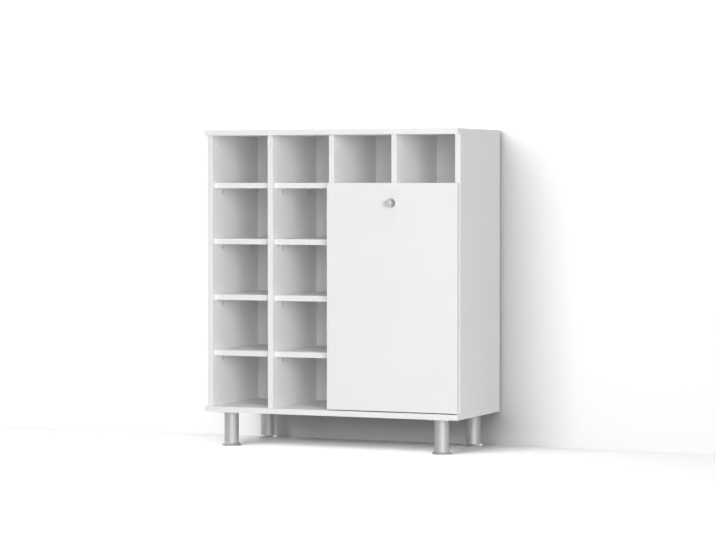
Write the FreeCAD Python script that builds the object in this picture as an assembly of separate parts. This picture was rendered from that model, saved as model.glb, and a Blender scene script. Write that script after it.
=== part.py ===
import FreeCAD, Part
import math
import os

Vector = FreeCAD.Vector
RIGHT = Vector(1, 0, 0)
LEFT = Vector(-1, 0, 0)
REARWARD = Vector(0, 1, 0)
FORWARD = Vector(0, -1, 0)
UP = Vector(0, 0, 1)
DOWN = Vector(0, 0, -1)
PARALLEL = 1e-6

# Driving dimensions in millimetres and degrees

# Carcass
cabinet_width = 790.0
cabinet_depth = 340.0
body_height = 820.0
leg_height = 100.0
board = 16.0
board_edge_radius = 0.8
column_count = 4
top_cubby_height = 137.0

# Loose shelves and their supports
shelf_rows = 4
shelf_setback = 14.0
shelf_side_clearance = 0.5
shelf_rear_clearance = 1.0
support_inset = 62.0
support_width = 10.0
support_plate_height = 17.0
support_ledge_depth = 9.0
support_thickness = 2.0
support_bend = 1.0
support_corner = 3.0
support_pin_radius = 2.5
support_pin_length = 7.0
support_pin_drop = 11.0
support_pin_chamfer = 0.4
support_pin_head_radius = 3.3
support_pin_head_rim = 0.3
support_pin_head_height = 0.9

# Back panel in its groove
back_thickness = 3.0
back_inset = 7.0
groove_depth = 6.0
groove_clearance = 0.2
back_screw_margin = 60.0
back_screw_rows = 3
back_screw_length = 20.0

# Knock-down fittings
fitting_inset = 45.0
dowel_offset = 32.0
cam_radius = 7.5
cam_depth = 12.5
cam_set_back = 24.0
cam_cover_radius = 8.7
cam_cover_thickness = 0.8
cam_cover_round = 0.4
bolt_thread_radius = 3.0
bolt_thread_length = 11.0
bolt_shank_radius = 2.5
bolt_head_radius = 3.5
bolt_head_length = 6.0
bolt_hole_radius = 4.0
dowel_radius = 4.0
dowel_in_face = 11.5
dowel_in_end = 18.0
dowel_chamfer = 1.0
bore_clearance = 0.1
bore_end_clearance = 0.5

# Legs
leg_diameter = 42.0
leg_wall = 1.5
leg_side_inset = 65.0
leg_end_inset = 45.0
leg_plate_size = 66.0
leg_plate_thickness = 2.0
leg_plate_corner = 9.0
leg_plate_hole_inset = 8.5
leg_boss_height = 12.0
leg_fit_clearance = 0.3
foot_diameter = 57.0
foot_height = 10.0
foot_rim = 1.6
foot_spigot_height = 14.0
glide_thickness = 2.0
glide_margin = 3.0

# Pan-head screws
screw_head_radius = 3.6
screw_head_rim = 0.8
screw_head_height = 2.2
screw_shank_radius = 1.75
screw_tip = 2.5
screw_depth = 12.0
pilot_clearance = 0.05

# Tilting flap
flap_thickness = 16.0
flap_recess = 1.5
flap_side_reveal = 1.5
flap_opening = 35.0
flap_running_gap = 0.4

# Knob
knob_below_top = 57.0
rosette_radius = 13.5
rosette_thickness = 3.5
rosette_round = 1.5
knob_neck_radius = 5.5
knob_neck_length = 8.0
knob_head_radius = 10.0
knob_head_length = 13.5
knob_head_round = 3.5
knob_screw_radius = 2.0
knob_screw_head_radius = 4.5
knob_screw_head_rim = 1.0
knob_screw_head_height = 2.6
knob_screw_tip = 1.0
knob_thread_depth = 12.0

# Concealed hinges
hinge_inset = 110.0
cup_radius = 17.5
cup_depth = 12.5
cup_wall = 0.5
cup_corner = 2.0
cup_edge_distance = 3.0
cup_flange_thickness = 1.0
cup_flange_margin = 1.5
cup_flange_length = 62.0
cup_flange_height = 20.0
cup_flange_corner = 8.0
cup_screw_inset = 6.0
pin_radius = 1.25
pin_running_clearance = 0.08
eye_radius = 2.25
eye_floor_clearance = 0.25
eye_rim_clearance = 0.4
ear_side_clearance = 0.3
ear_thickness = 2.0
ear_height = 3.0
arm_width = 10.0
arm_thickness = 2.0
arm_reach = 15.0
arm_foot_width = 24.0
arm_foot_length = 40.0
arm_foot_corner = 4.0
arm_bend = 1.5
arm_shoulder = 5.0
arm_shoulder_corner = 1.5
arm_screw_first = 14.0
arm_screw_spacing = 16.0

# Quadrant stays and their guides
stay_radius = 260.0
stay_width = 12.0
stay_thickness = 2.5
stay_wall_gap = 4.0
stay_head_width = 20.0
stay_head_length = 8.0
stay_head_corner = 1.5
stay_tab_length = 24.0
stay_tab_height = 34.0
stay_tab_corner = 5.0
stay_screw_spacing = 18.0
guide_setback = 45.0
guide_length = 16.0
guide_wall = 1.5
guide_clearance = 0.6
guide_stop_clearance = 0.4
guide_ear_length = 14.0
guide_ear_thickness = 2.0
guide_ear_corner = 5.0
guide_edge_radius = 1.0

# Magnetic catch and buffers
catch_width = 26.0
catch_depth = 18.0
catch_height = 14.0
catch_corner = 1.2
catch_ear_span = 56.0
catch_ear_thickness = 2.5
catch_ear_setback = 6.0
catch_ear_corner = 4.0
catch_wall = 1.4
catch_pocket_clearance = 0.15
pole_thickness = 1.5
pole_reach = 0.8
magnet_recess = 1.0
strike_length = 52.0
strike_height = 14.0
strike_thickness = 1.2
strike_corner = 3.0
buffer_radius = 4.5
buffer_round = 1.2
buffer_inset = 35.5
buffer_gap = 0.3

# Laundry bag and the wire frame that it hangs on
frame_below_ceiling = 131.0
frame_standoff = 22.0
frame_side_gap = 25.0
frame_depth = 225.0
frame_corner = 30.0
wire_radius = 3.0
hook_radius = 2.5
hook_inset = 30.5
hook_standoff = 7.0
hook_bend = 8.0
hook_drop = 55.0
socket_width = 16.0
socket_depth = 13.0
socket_height = 46.0
socket_corner = 5.0
socket_floor = 3.0
socket_flange_span = 40.0
socket_flange_thickness = 3.0
socket_flange_corner = 4.0
socket_bore_clearance = 0.2
socket_lead = 1.2
bag_floor_clearance = 84.0
bag_taper = 15.0
bag_wall = 2.0
bag_corner_bottom = 45.0
sleeve_clearance = 0.3
sleeve_wall = 2.0
sleeve_slit = 18.0

# Flap swing: the pin's place in the cup sets the gaps that the flap needs below and behind it
arm_half = arm_width / 2
cup_inner_radius = cup_radius - cup_wall
cup_rim_rise = cup_radius - math.sqrt(cup_inner_radius**2 - arm_half**2)
pin_behind_front = flap_thickness - cup_depth + cup_wall + eye_floor_clearance + eye_radius
pin_above_edge = cup_edge_distance + cup_rim_rise + eye_rim_clearance + eye_radius
pin_to_rear = flap_thickness - pin_behind_front
opening = math.radians(flap_opening)
drop_angle = min(opening, math.atan2(pin_behind_front, pin_above_edge))
front_corner_drop = (
    pin_behind_front * math.sin(drop_angle) + pin_above_edge * math.cos(drop_angle) - pin_above_edge
)
swing_angle = min(opening, math.atan2(pin_above_edge, pin_to_rear))
rear_corner_swing = (
    pin_to_rear * math.cos(swing_angle) + pin_above_edge * math.sin(swing_angle) - pin_to_rear
)
flap_bottom_gap = front_corner_drop + flap_running_gap
flap_back_gap = rear_corner_swing + flap_running_gap

# Planes of the cabinet: the origin is on the floor, under the middle of the cabinet with its knob
knob_reach = rosette_thickness + knob_neck_length + knob_head_length - flap_recess
left_x = -cabinet_width / 2
right_x = cabinet_width / 2
front_y = -(cabinet_depth - knob_reach) / 2
rear_y = front_y + cabinet_depth
flap_front_y = front_y + flap_recess
flap_rear_y = flap_front_y + flap_thickness
side_front_y = flap_rear_y + flap_back_gap
back_front_y = rear_y - back_inset - back_thickness
base_z = leg_height
deck_z = base_z + board
roof_z = base_z + body_height - board
top_z = base_z + body_height
hamper_shelf_top_z = roof_z - top_cubby_height
hamper_shelf_z = hamper_shelf_top_z - board
row_height = (hamper_shelf_z - deck_z - (shelf_rows - 1) * board) / shelf_rows
column_pitch = (cabinet_width - board) / column_count
left_divider_x = left_x + column_pitch
centre_divider_x = left_x + 2 * column_pitch
partition_x = left_x + 3 * column_pitch
right_side_x = right_x - board
hamper_left_x = centre_divider_x + board
flap_left_x = centre_divider_x + flap_side_reveal
flap_right_x = right_x - flap_side_reveal
flap_mid_x = (flap_left_x + flap_right_x) / 2
flap_bottom_z = deck_z + flap_bottom_gap
flap_top_z = hamper_shelf_top_z
pivot_y = flap_front_y + pin_behind_front
pivot_z = flap_bottom_z + pin_above_edge
fitting_rows = (side_front_y + fitting_inset, back_front_y - fitting_inset)
dowel_rows = (fitting_rows[0] + dowel_offset, fitting_rows[1] - dowel_offset)

pieces = {}
cuts = {}


def add(node, *solids):
    """Puts solids into a named piece or group of like pieces."""
    pieces.setdefault(node, []).extend(solids)


def bore(node, tool):
    """Notes a hole or recess to be cut from a named piece."""
    cuts.setdefault(node, []).append(tool)


def block(x_a, x_b, y_a, y_b, z_a, z_b):
    """A box between two corners, given in either order."""
    low = Vector(min(x_a, x_b), min(y_a, y_b), min(z_a, z_b))
    return Part.makeBox(abs(x_b - x_a), abs(y_b - y_a), abs(z_b - z_a), low)


def rod(radius, length, start, direction):
    return Part.makeCylinder(radius, length, start, direction)


def ease(solid, radius, runs, wanted):
    """Rounds the straight edges that run one of some ways and whose middle passes a test."""
    chosen = []
    for edge in solid.Edges:
        if isinstance(edge.Curve, Part.Line) and wanted(edge.CenterOfMass):
            along = edge.tangentAt(edge.FirstParameter)
            if any(along.isParallel(run, PARALLEL) for run in runs):
                chosen.append(edge)
    return solid.makeFillet(radius, chosen)


def panel(low, high, runs=(RIGHT, REARWARD, UP), rear_too=True):
    """A board with eased edges: those that run some ways, all round or along its front alone."""
    box = Part.makeBox(high.x - low.x, high.y - low.y, high.z - low.z, low)
    middle_y = (low.y + high.y) / 2
    return ease(box, board_edge_radius, runs, lambda middle: rear_too or middle.y < middle_y)


def profile(steps):
    """A flat face in the XZ plane: a step is a point (x, z), or an arc's middle and end."""
    here = Vector(steps[0][0], 0, steps[0][1])
    edges = []
    for step in [*steps[1:], steps[0]]:
        end = Vector(step[-2], 0, step[-1])
        if len(step) == 4:
            edges.append(Part.Arc(here, Vector(step[0], 0, step[1]), end).toShape())
        else:
            edges.append(Part.makeLine(here, end))
        here = end
    return Part.Face(Part.Wire(edges))


def turned(steps, base, axis):
    """Turns a half profile of points (r, z) about an axis."""
    solid = profile(steps).revolve(Vector(), UP, 360)
    solid.Placement = FreeCAD.Placement(base, FreeCAD.Rotation(UP, axis))
    return solid


def arc_middle(centre_a, centre_b, radius, angle):
    """A point of a profile's arc, at an angle from the profile's first direction."""
    return centre_a + radius * math.cos(angle), centre_b + radius * math.sin(angle)


def crown(radius, low, high):
    """The step of a turned profile that domes from its rim at low to the axis at high."""
    rise = high - low
    sphere = (radius**2 + rise**2) / (2 * rise)
    half = radius / 2
    return half, high - sphere + math.sqrt(sphere**2 - half**2), 0, high


def button(radius, height, rim_round, base, axis):
    """A turned disc with a rounded front edge."""
    shoulder = radius - rim_round
    rim = height - rim_round
    steps = [
        (0, 0),
        (radius, 0),
        (radius, rim),
        (*arc_middle(shoulder, rim, rim_round, math.pi / 4), shoulder, height),
        (0, height),
    ]
    return turned(steps, base, axis)


def rounded_outline(x_a, x_b, y_a, y_b, corner, z):
    """A level rectangle with round corners, as a closed wire."""
    bend = corner * (1 - math.sqrt(0.5))
    near_left = x_a + corner
    near_right = x_b - corner
    near_front = y_a + corner
    near_rear = y_b - corner
    edges = [
        Part.makeLine(Vector(near_left, y_a, z), Vector(near_right, y_a, z)),
        Part.Arc(Vector(near_right, y_a, z), Vector(x_b - bend, y_a + bend, z), Vector(x_b, near_front, z)),
        Part.makeLine(Vector(x_b, near_front, z), Vector(x_b, near_rear, z)),
        Part.Arc(Vector(x_b, near_rear, z), Vector(x_b - bend, y_b - bend, z), Vector(near_right, y_b, z)),
        Part.makeLine(Vector(near_right, y_b, z), Vector(near_left, y_b, z)),
        Part.Arc(Vector(near_left, y_b, z), Vector(x_a + bend, y_b - bend, z), Vector(x_a, near_rear, z)),
        Part.makeLine(Vector(x_a, near_rear, z), Vector(x_a, near_front, z)),
        Part.Arc(Vector(x_a, near_front, z), Vector(x_a + bend, y_a + bend, z), Vector(near_left, y_a, z)),
    ]
    return Part.Wire([edge.toShape() if hasattr(edge, "toShape") else edge for edge in edges])


def rounded_plate(middle, across, along, width, length, corner, thickness):
    """A flat plate with round corners, laid on a plane and thickened away from it."""
    outline = rounded_outline(-width / 2, width / 2, -length / 2, length / 2, corner, 0)
    plate = Part.Face(outline).extrude(UP * thickness)
    turn = FreeCAD.Rotation(across, along, across.cross(along), "XYZ")
    plate.Placement = FreeCAD.Placement(middle, turn)
    return plate


def bent_rod(points, bend, radius, closed=False):
    """A round rod through corner points, with every corner bent to one radius."""
    count = len(points)
    corners = range(count) if closed else range(1, count - 1)
    solids = []
    reach = {}
    for index in corners:
        corner = points[index]
        coming = (corner - points[index - 1]).normalize()
        leaving = (points[(index + 1) % count] - corner).normalize()
        turn = coming.getAngle(leaving)
        tangent = bend * math.tan(turn / 2)
        start = corner - coming * tangent
        inward = (leaving - coming * math.cos(turn)).normalize()
        section = Part.Face(Part.Wire(Part.makeCircle(radius, start, coming)))
        solids.append(section.revolve(start + inward * bend, coming.cross(leaving), math.degrees(turn)))
        reach[index] = tangent
    for index in range(count if closed else count - 1):
        following = (index + 1) % count
        run = points[following] - points[index]
        length = run.Length - reach.get(index, 0) - reach.get(following, 0)
        along = run.normalize()
        solids.append(rod(radius, length, points[index] + along * reach.get(index, 0), along))
    return solids[0].fuse(solids[1:]).removeSplitter()


def pan_screw(seat, direction, depth, shank_radius, tip, head_radius, head_rim, head_height):
    """A turned screw that points one way, with its domed head on the seat."""
    steps = [
        (0, -depth),
        (shank_radius, tip - depth),
        (shank_radius, 0),
        (head_radius, 0),
        (head_radius, head_rim),
        crown(head_radius, head_rim, head_height),
    ]
    return turned(steps, seat, direction * -1)


def drive_screw(group, seat, direction, *nodes, depth=screw_depth):
    """Seats a pan-head screw on a surface and bores its hole in the pieces that it passes."""
    head = (screw_head_radius, screw_head_rim, screw_head_height)
    add(group, pan_screw(seat, direction, depth, screw_shank_radius, screw_tip, *head))
    for node in nodes:
        hole_length = depth + bore_end_clearance
        bore(node, rod(screw_shank_radius + pilot_clearance, hole_length, seat, direction))


def cam_joint(holder, taker, meeting, along, face):
    """Draws the end of one board to the face of another with a cam and a bolt."""
    mouth = meeting + along * cam_set_back + face * (board / 2)
    inward = face * -1
    head_start = cam_set_back - bolt_head_length / 2
    head_end = cam_set_back + bolt_head_length / 2
    bolt_steps = [
        (0, -bolt_thread_length),
        (bolt_thread_radius, -bolt_thread_length),
        (bolt_thread_radius, 0),
        (bolt_shank_radius, 0),
        (bolt_shank_radius, head_start),
        (bolt_head_radius, head_start),
        (bolt_head_radius, head_end),
        (0, head_end),
    ]
    channel = rod(bolt_hole_radius, cam_set_back + bolt_hole_radius, meeting, along)
    add("cam_housings", rod(cam_radius, cam_depth, mouth, inward).cut(channel))
    add("cam_bolts", turned(bolt_steps, meeting, along))
    add("cam_covers", button(cam_cover_radius, cam_cover_thickness, cam_cover_round, mouth, face))
    bore(holder, rod(cam_radius + bore_clearance, cam_depth, mouth, inward))
    bore(holder, channel)
    thread_hole = rod(
        bolt_thread_radius + bore_clearance, bolt_thread_length + bore_end_clearance, meeting, along * -1
    )
    bore(taker, thread_hole)


def dowel_joint(holder, taker, meeting, along):
    """Keeps the end of one board in line with the face of another."""
    length = dowel_in_face + dowel_in_end
    end_radius = dowel_radius - dowel_chamfer
    steps = [
        (0, 0),
        (end_radius, 0),
        (dowel_radius, dowel_chamfer),
        (dowel_radius, length - dowel_chamfer),
        (end_radius, length),
        (0, length),
    ]
    add("wood_dowels", turned(steps, meeting - along * dowel_in_face, along))
    hole_radius = dowel_radius + bore_clearance
    bore(holder, rod(hole_radius, dowel_in_end + bore_end_clearance, meeting, along))
    bore(taker, rod(hole_radius, dowel_in_face + bore_end_clearance, meeting, along * -1))


def carcass_boards():
    """Top, bottom, sides, dividers, the fixed shelf above the hamper and the partition on it."""
    add("top_panel", panel(Vector(left_x, front_y, roof_z), Vector(right_x, rear_y, top_z)))
    add("bottom_panel", panel(Vector(left_x, front_y, base_z), Vector(right_x, rear_y, deck_z)))
    uprights = (
        ("left_side", left_x, deck_z, rear_y),
        ("left_divider", left_divider_x, deck_z, back_front_y),
        ("centre_divider", centre_divider_x, deck_z, back_front_y),
        ("upper_partition", partition_x, hamper_shelf_top_z, back_front_y),
        ("right_side", right_side_x, deck_z, rear_y),
    )
    for node, x, foot_z, end_y in uprights:
        low = Vector(x, side_front_y, foot_z)
        add(node, panel(low, Vector(x + board, end_y, roof_z), (UP,), rear_too=end_y == rear_y))
    low = Vector(hamper_left_x, side_front_y, hamper_shelf_z)
    high = Vector(right_side_x, back_front_y, hamper_shelf_top_z)
    add("hamper_shelf", panel(low, high, (RIGHT,), rear_too=False))


def carcass_fittings():
    """Cams, bolts, covers and dowels wherever the end of a board meets another board."""
    uprights = (
        ("left_side", left_x, RIGHT, "bottom_panel", deck_z),
        ("left_divider", left_divider_x, LEFT, "bottom_panel", deck_z),
        ("centre_divider", centre_divider_x, LEFT, "bottom_panel", deck_z),
        ("upper_partition", partition_x, LEFT, "hamper_shelf", hamper_shelf_top_z),
        ("right_side", right_side_x, LEFT, "bottom_panel", deck_z),
    )
    for node, x, face, floor_board, foot_z in uprights:
        middle = x + board / 2
        for y in fitting_rows:
            cam_joint(node, "top_panel", Vector(middle, y, roof_z), DOWN, face)
            if floor_board == "bottom_panel":
                cam_joint(node, floor_board, Vector(middle, y, foot_z), UP, face)
        for y in dowel_rows:
            dowel_joint(node, "top_panel", Vector(middle, y, roof_z), DOWN)
            dowel_joint(node, floor_board, Vector(middle, y, foot_z), UP)
    shelf_middle = hamper_shelf_z + board / 2
    for node, x, along in (("centre_divider", hamper_left_x, RIGHT), ("right_side", right_side_x, LEFT)):
        for y in fitting_rows:
            cam_joint("hamper_shelf", node, Vector(x, y, shelf_middle), along, DOWN)
        for y in dowel_rows:
            dowel_joint("hamper_shelf", node, Vector(x, y, shelf_middle), along)


def back():
    """Thin back panel in grooves all round, screwed to the rear edges of the dividers."""
    tongue = groove_depth - groove_clearance
    back_rear_y = back_front_y + back_thickness
    sheet = block(
        left_x + board - tongue,
        right_side_x + tongue,
        back_front_y,
        back_rear_y,
        deck_z - tongue,
        roof_z + tongue,
    )
    add("back_panel", sheet)
    groove = block(
        left_x + board - groove_depth,
        right_side_x + groove_depth,
        back_front_y - groove_clearance,
        back_rear_y + groove_clearance,
        deck_z - groove_depth,
        roof_z + groove_depth,
    )
    for node in ("left_side", "right_side", "top_panel", "bottom_panel"):
        bore(node, groove)
    lowest = deck_z + back_screw_margin
    step = (roof_z - back_screw_margin - lowest) / (back_screw_rows - 1)
    for node, x in (("left_divider", left_divider_x), ("centre_divider", centre_divider_x)):
        for row in range(back_screw_rows):
            seat = Vector(x + board / 2, back_rear_y, lowest + row * step)
            drive_screw("back_screws", seat, FORWARD, "back_panel", node, depth=back_screw_length)


def shelf_support(wall_node, wall_x, inward, y, underside):
    """A moulded angle whose ledge carries the shelf, and the headed pin that goes through it into the upright."""
    foot = -support_plate_height
    turn = support_thickness + support_bend
    bend_angle = 3 * math.pi / 4
    steps = [
        (0, foot),
        (support_thickness, foot),
        (support_thickness, -turn),
        (*arc_middle(turn, -turn, support_bend, bend_angle), turn, -support_thickness),
        (support_ledge_depth, -support_thickness),
        (support_ledge_depth, 0),
        (turn, 0),
        (*arc_middle(turn, -turn, turn, bend_angle), 0, -turn),
    ]
    angle = profile(steps).extrude(REARWARD * support_width)
    angle = ease(angle, support_corner, (RIGHT,), lambda middle: middle.z < foot + support_corner)
    ledge_corner = support_ledge_depth - support_corner
    angle = ease(angle, support_corner, (UP,), lambda middle: middle.x > ledge_corner)
    pin_hole_start = Vector(-support_thickness, support_width / 2, -support_pin_drop)
    angle = angle.cut(rod(support_pin_radius + pilot_clearance, 3 * support_thickness, pin_hole_start, RIGHT))
    angle.translate(FORWARD * (support_width / 2))
    seat = Vector(wall_x, y, underside)
    angle.Placement = FreeCAD.Placement(seat, FreeCAD.Rotation(RIGHT, inward)) * angle.Placement
    add("shelf_supports", angle)
    reach = support_thickness + support_pin_length
    pin_steps = [
        (0, -reach),
        (support_pin_radius - support_pin_chamfer, -reach),
        (support_pin_radius, support_pin_chamfer - reach),
        (support_pin_radius, 0),
        (support_pin_head_radius, 0),
        (support_pin_head_radius, support_pin_head_rim),
        crown(support_pin_head_radius, support_pin_head_rim, support_pin_head_height),
    ]
    add("support_pins", turned(pin_steps, seat + DOWN * support_pin_drop + inward * support_thickness, inward))
    hole_radius = support_pin_radius + bore_clearance
    hole_length = support_pin_length + bore_end_clearance
    bore(wall_node, rod(hole_radius, hole_length, seat + DOWN * support_pin_drop, inward * -1))


def shelves():
    """Loose shelves in the two open columns, each on four supports."""
    columns = (
        ("left_shelf", "left_side", left_x + board, "left_divider", left_divider_x),
        ("middle_shelf", "left_divider", left_divider_x + board, "centre_divider", centre_divider_x),
    )
    front = side_front_y + shelf_setback
    rear = back_front_y - shelf_rear_clearance
    for name, left_node, left_wall, right_node, right_wall in columns:
        for row in range(shelf_rows):
            underside = deck_z + (row + 1) * row_height + row * board
            low = Vector(left_wall + shelf_side_clearance, front, underside)
            high = Vector(right_wall - shelf_side_clearance, rear, underside + board)
            add(f"{name}_{row + 1}", panel(low, high, (RIGHT,), rear_too=False))
            for y in (side_front_y + support_inset, back_front_y - support_inset):
                shelf_support(left_node, left_wall, RIGHT, y, underside)
                shelf_support(right_node, right_wall, LEFT, y, underside)


def leg_foot(x, y):
    """Turned foot: a trumpet flare under the tube and a spigot that is pressed into it."""
    radius = foot_diameter / 2
    tube_radius = leg_diameter / 2
    spigot_radius = tube_radius - leg_wall - leg_fit_clearance
    top = glide_thickness + foot_height
    flare = radius - tube_radius
    rise = foot_height - foot_rim
    sweep = (flare**2 + rise**2) / (2 * flare)
    centre_r = tube_radius + sweep
    end_angle = math.atan2(-rise, radius - centre_r)
    middle = arc_middle(centre_r, top, sweep, (end_angle - math.pi) / 2)
    steps = [
        (0, glide_thickness),
        (radius, glide_thickness),
        (radius, glide_thickness + foot_rim),
        (*middle, tube_radius, top),
        (spigot_radius, top),
        (spigot_radius, top + foot_spigot_height),
        (0, top + foot_spigot_height),
    ]
    return turned(steps, Vector(x, y, 0), UP)


def legs():
    """Four round tube legs, each with a screw plate on top and a flared foot on a glide."""
    tube_radius = leg_diameter / 2
    bore_radius = tube_radius - leg_wall
    tube_low = glide_thickness + foot_height
    plate_low = leg_height - leg_plate_thickness
    hole_reach = leg_plate_size / 2 - leg_plate_hole_inset
    for depth_name, y in (("front", front_y + leg_end_inset), ("rear", rear_y - leg_end_inset)):
        for side_name, x in (("left", left_x + leg_side_inset), ("right", right_x - leg_side_inset)):
            name = f"{depth_name}_{side_name}"
            tube = rod(tube_radius, plate_low - tube_low, Vector(x, y, tube_low), UP)
            hollow = rod(bore_radius, plate_low - tube_low, Vector(x, y, tube_low), UP)
            add(f"leg_tube_{name}", tube.cut(hollow))
            add(f"leg_foot_{name}", leg_foot(x, y))
            add("leg_glides", rod(foot_diameter / 2 - glide_margin, glide_thickness, Vector(x, y, 0), UP))
            under_plate = Vector(x, y, plate_low)
            sides = (leg_plate_size, leg_plate_size, leg_plate_corner)
            plate = rounded_plate(under_plate, RIGHT, REARWARD, *sides, leg_plate_thickness)
            boss = rod(bore_radius - leg_fit_clearance, leg_boss_height, under_plate, DOWN)
            plate_node = f"leg_plate_{name}"
            add(plate_node, plate.fuse(boss))
            for corner_x in (-hole_reach, hole_reach):
                for corner_y in (-hole_reach, hole_reach):
                    seat = Vector(x + corner_x, y + corner_y, plate_low)
                    drive_screw("leg_screws", seat, UP, plate_node, "bottom_panel")


def flap():
    """Flap board, with its knob on a rosette and the screw that holds the knob from behind."""
    low = Vector(flap_left_x, flap_front_y, flap_bottom_z)
    add("flap_panel", panel(low, Vector(flap_right_x, flap_rear_y, flap_top_z)))
    face = Vector(flap_mid_x, flap_front_y, flap_top_z - knob_below_top)
    add("knob_rosette", button(rosette_radius, rosette_thickness, rosette_round, face, FORWARD))
    knob_length = knob_neck_length + knob_head_length
    head_edge = knob_head_radius - knob_head_round
    cheek = knob_neck_length + (knob_head_radius - knob_neck_radius) / 2
    round_start = knob_length - knob_head_round
    knob_steps = [
        (0, 0),
        (knob_neck_radius, 0),
        (knob_neck_radius, knob_neck_length),
        (knob_head_radius, cheek),
        (knob_head_radius, round_start),
        (*arc_middle(head_edge, round_start, knob_head_round, math.pi / 4), head_edge, knob_length),
        (0, knob_length),
    ]
    knob_base = face + FORWARD * rosette_thickness
    add("knob", turned(knob_steps, knob_base, FORWARD))
    screw_head = Vector(flap_mid_x, flap_rear_y, face.z)
    shank_length = flap_thickness + rosette_thickness + knob_thread_depth
    shank = (shank_length, knob_screw_radius, knob_screw_tip)
    head = (knob_screw_head_radius, knob_screw_head_rim, knob_screw_head_height)
    add("knob_screw", pan_screw(screw_head, FORWARD, *shank, *head))
    hole = rod(knob_screw_radius + bore_clearance, shank_length + bore_end_clearance, screw_head, FORWARD)
    for node in ("flap_panel", "knob_rosette", "knob"):
        bore(node, hole)


def hinge_cup(name, x):
    """Pressed cup in the flap: a flanged bowl with two ears that carry the hinge pin."""
    centre_z = flap_bottom_z + cup_edge_distance + cup_radius
    mouth = Vector(x, flap_rear_y, centre_z)
    flange_rear = flap_rear_y + cup_flange_thickness
    rim_radius = cup_radius + cup_flange_margin
    floor_radius = cup_radius - cup_corner
    wall_end = cup_depth - cup_corner
    inner_corner = cup_corner - cup_wall
    outer_form = [
        (cup_radius, 0),
        (cup_radius, wall_end),
        (*arc_middle(floor_radius, wall_end, cup_corner, math.pi / 4), floor_radius, cup_depth),
        (0, cup_depth),
    ]
    bowl_steps = [
        (cup_inner_radius, -cup_flange_thickness),
        (rim_radius, -cup_flange_thickness),
        (rim_radius, 0),
        *outer_form,
        (0, cup_depth - cup_wall),
        (floor_radius, cup_depth - cup_wall),
        (*arc_middle(floor_radius, wall_end, inner_corner, math.pi / 4), cup_inner_radius, wall_end),
    ]
    bowl = turned(bowl_steps, mouth, FORWARD)
    sides = (cup_flange_height, cup_flange_length, cup_flange_corner)
    flange = rounded_plate(mouth, UP, RIGHT, *sides, cup_flange_thickness)
    opened_flange = flange.cut(rod(cup_inner_radius, cup_flange_thickness, mouth, REARWARD))
    inside = turned([(0, 0), *outer_form], mouth, FORWARD)
    floor_y = flap_rear_y - cup_depth
    ear_low = flap_bottom_z + cup_edge_distance
    ear_start = arm_half + ear_side_clearance
    ears = []
    for side in (-1, 1):
        near = x + side * ear_start
        far = near + side * ear_thickness
        ear = block(near, far, floor_y, pivot_y + eye_radius, ear_low, pivot_z + ear_height)
        ears.append(ear.common(inside))
    pin_half = ear_start + ear_thickness
    pin_start = Vector(x - pin_half, pivot_y, pivot_z)
    add(f"hinge_cup_{name}", bowl.fuse([opened_flange, *ears]).removeSplitter())
    add("hinge_pins", rod(pin_radius, 2 * pin_half, pin_start, RIGHT))
    bore(f"hinge_cup_{name}", rod(pin_radius, 2 * pin_half, pin_start, RIGHT))
    bore("flap_panel", rod(cup_radius, cup_depth, mouth, FORWARD))
    screw_reach = cup_flange_length / 2 - cup_screw_inset
    for side in (-1, 1):
        seat = Vector(x + side * screw_reach, flange_rear, centre_z)
        drive_screw("flap_screws", seat, FORWARD, f"hinge_cup_{name}", "flap_panel")


def hinge_arm(name, x):
    """Goose-neck arm bent from strip: an eye on the pin, an arch over the cup's rim and a foot."""
    half = arm_thickness / 2
    arch = arm_reach / 2
    neck_front = arm_reach - half
    neck_rear = arm_reach + half
    foot_low = deck_z - pivot_z
    foot_top = foot_low + arm_thickness
    foot_end = neck_front + arm_foot_length
    turn = arm_thickness + arm_bend
    turn_y = neck_front + turn
    turn_z = foot_low + turn
    bend_angle = 5 * math.pi / 4
    steps = [
        (-half, 0),
        (arch, arch + half, neck_rear, 0),
        (neck_rear, turn_z),
        (*arc_middle(turn_y, turn_z, arm_bend, bend_angle), turn_y, foot_top),
        (foot_end, foot_top),
        (foot_end, foot_low),
        (turn_y, foot_low),
        (*arc_middle(turn_y, turn_z, turn, bend_angle), neck_front, turn_z),
        (neck_front, 0),
        (arch, arch - half, half, 0),
    ]
    strip = profile(steps).extrude(REARWARD * arm_foot_width)
    strip.rotate(Vector(), UP, 90)
    half_foot = arm_foot_width / 2
    strip.translate(RIGHT * half_foot)
    shoulder_z = foot_low + arm_shoulder
    for side in (-1, 1):
        beside = block(side * arm_half, side * half_foot, -arm_reach, foot_end, shoulder_z, arm_reach)
        strip = strip.cut(beside)
    at_shoulder = arm_shoulder_corner / 2
    strip = ease(
        strip, arm_shoulder_corner, (REARWARD,), lambda middle: abs(middle.z - shoulder_z) < at_shoulder
    )
    strip = ease(strip, arm_foot_corner, (UP,), lambda middle: middle.y > foot_end - arm_foot_corner)
    eye_start = Vector(-arm_half, 0, 0)
    pin_hole = rod(pin_radius + pin_running_clearance, arm_width, eye_start, RIGHT)
    arm = strip.fuse(rod(eye_radius, arm_width, eye_start, RIGHT)).cut(pin_hole)
    pin = Vector(x, pivot_y, pivot_z)
    arm.translate(pin)
    add(f"hinge_arm_{name}", arm)
    for row in range(2):
        reach = neck_front + arm_screw_first + row * arm_screw_spacing
        seat = pin + Vector(0, reach, foot_top)
        drive_screw("fitting_screws", seat, DOWN, f"hinge_arm_{name}", "bottom_panel")


def hinges():
    """A concealed hinge near each end of the flap's lower edge."""
    for name, x in (("left", flap_left_x + hinge_inset), ("right", flap_right_x - hinge_inset)):
        hinge_cup(name, x)
        hinge_arm(name, x)


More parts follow.
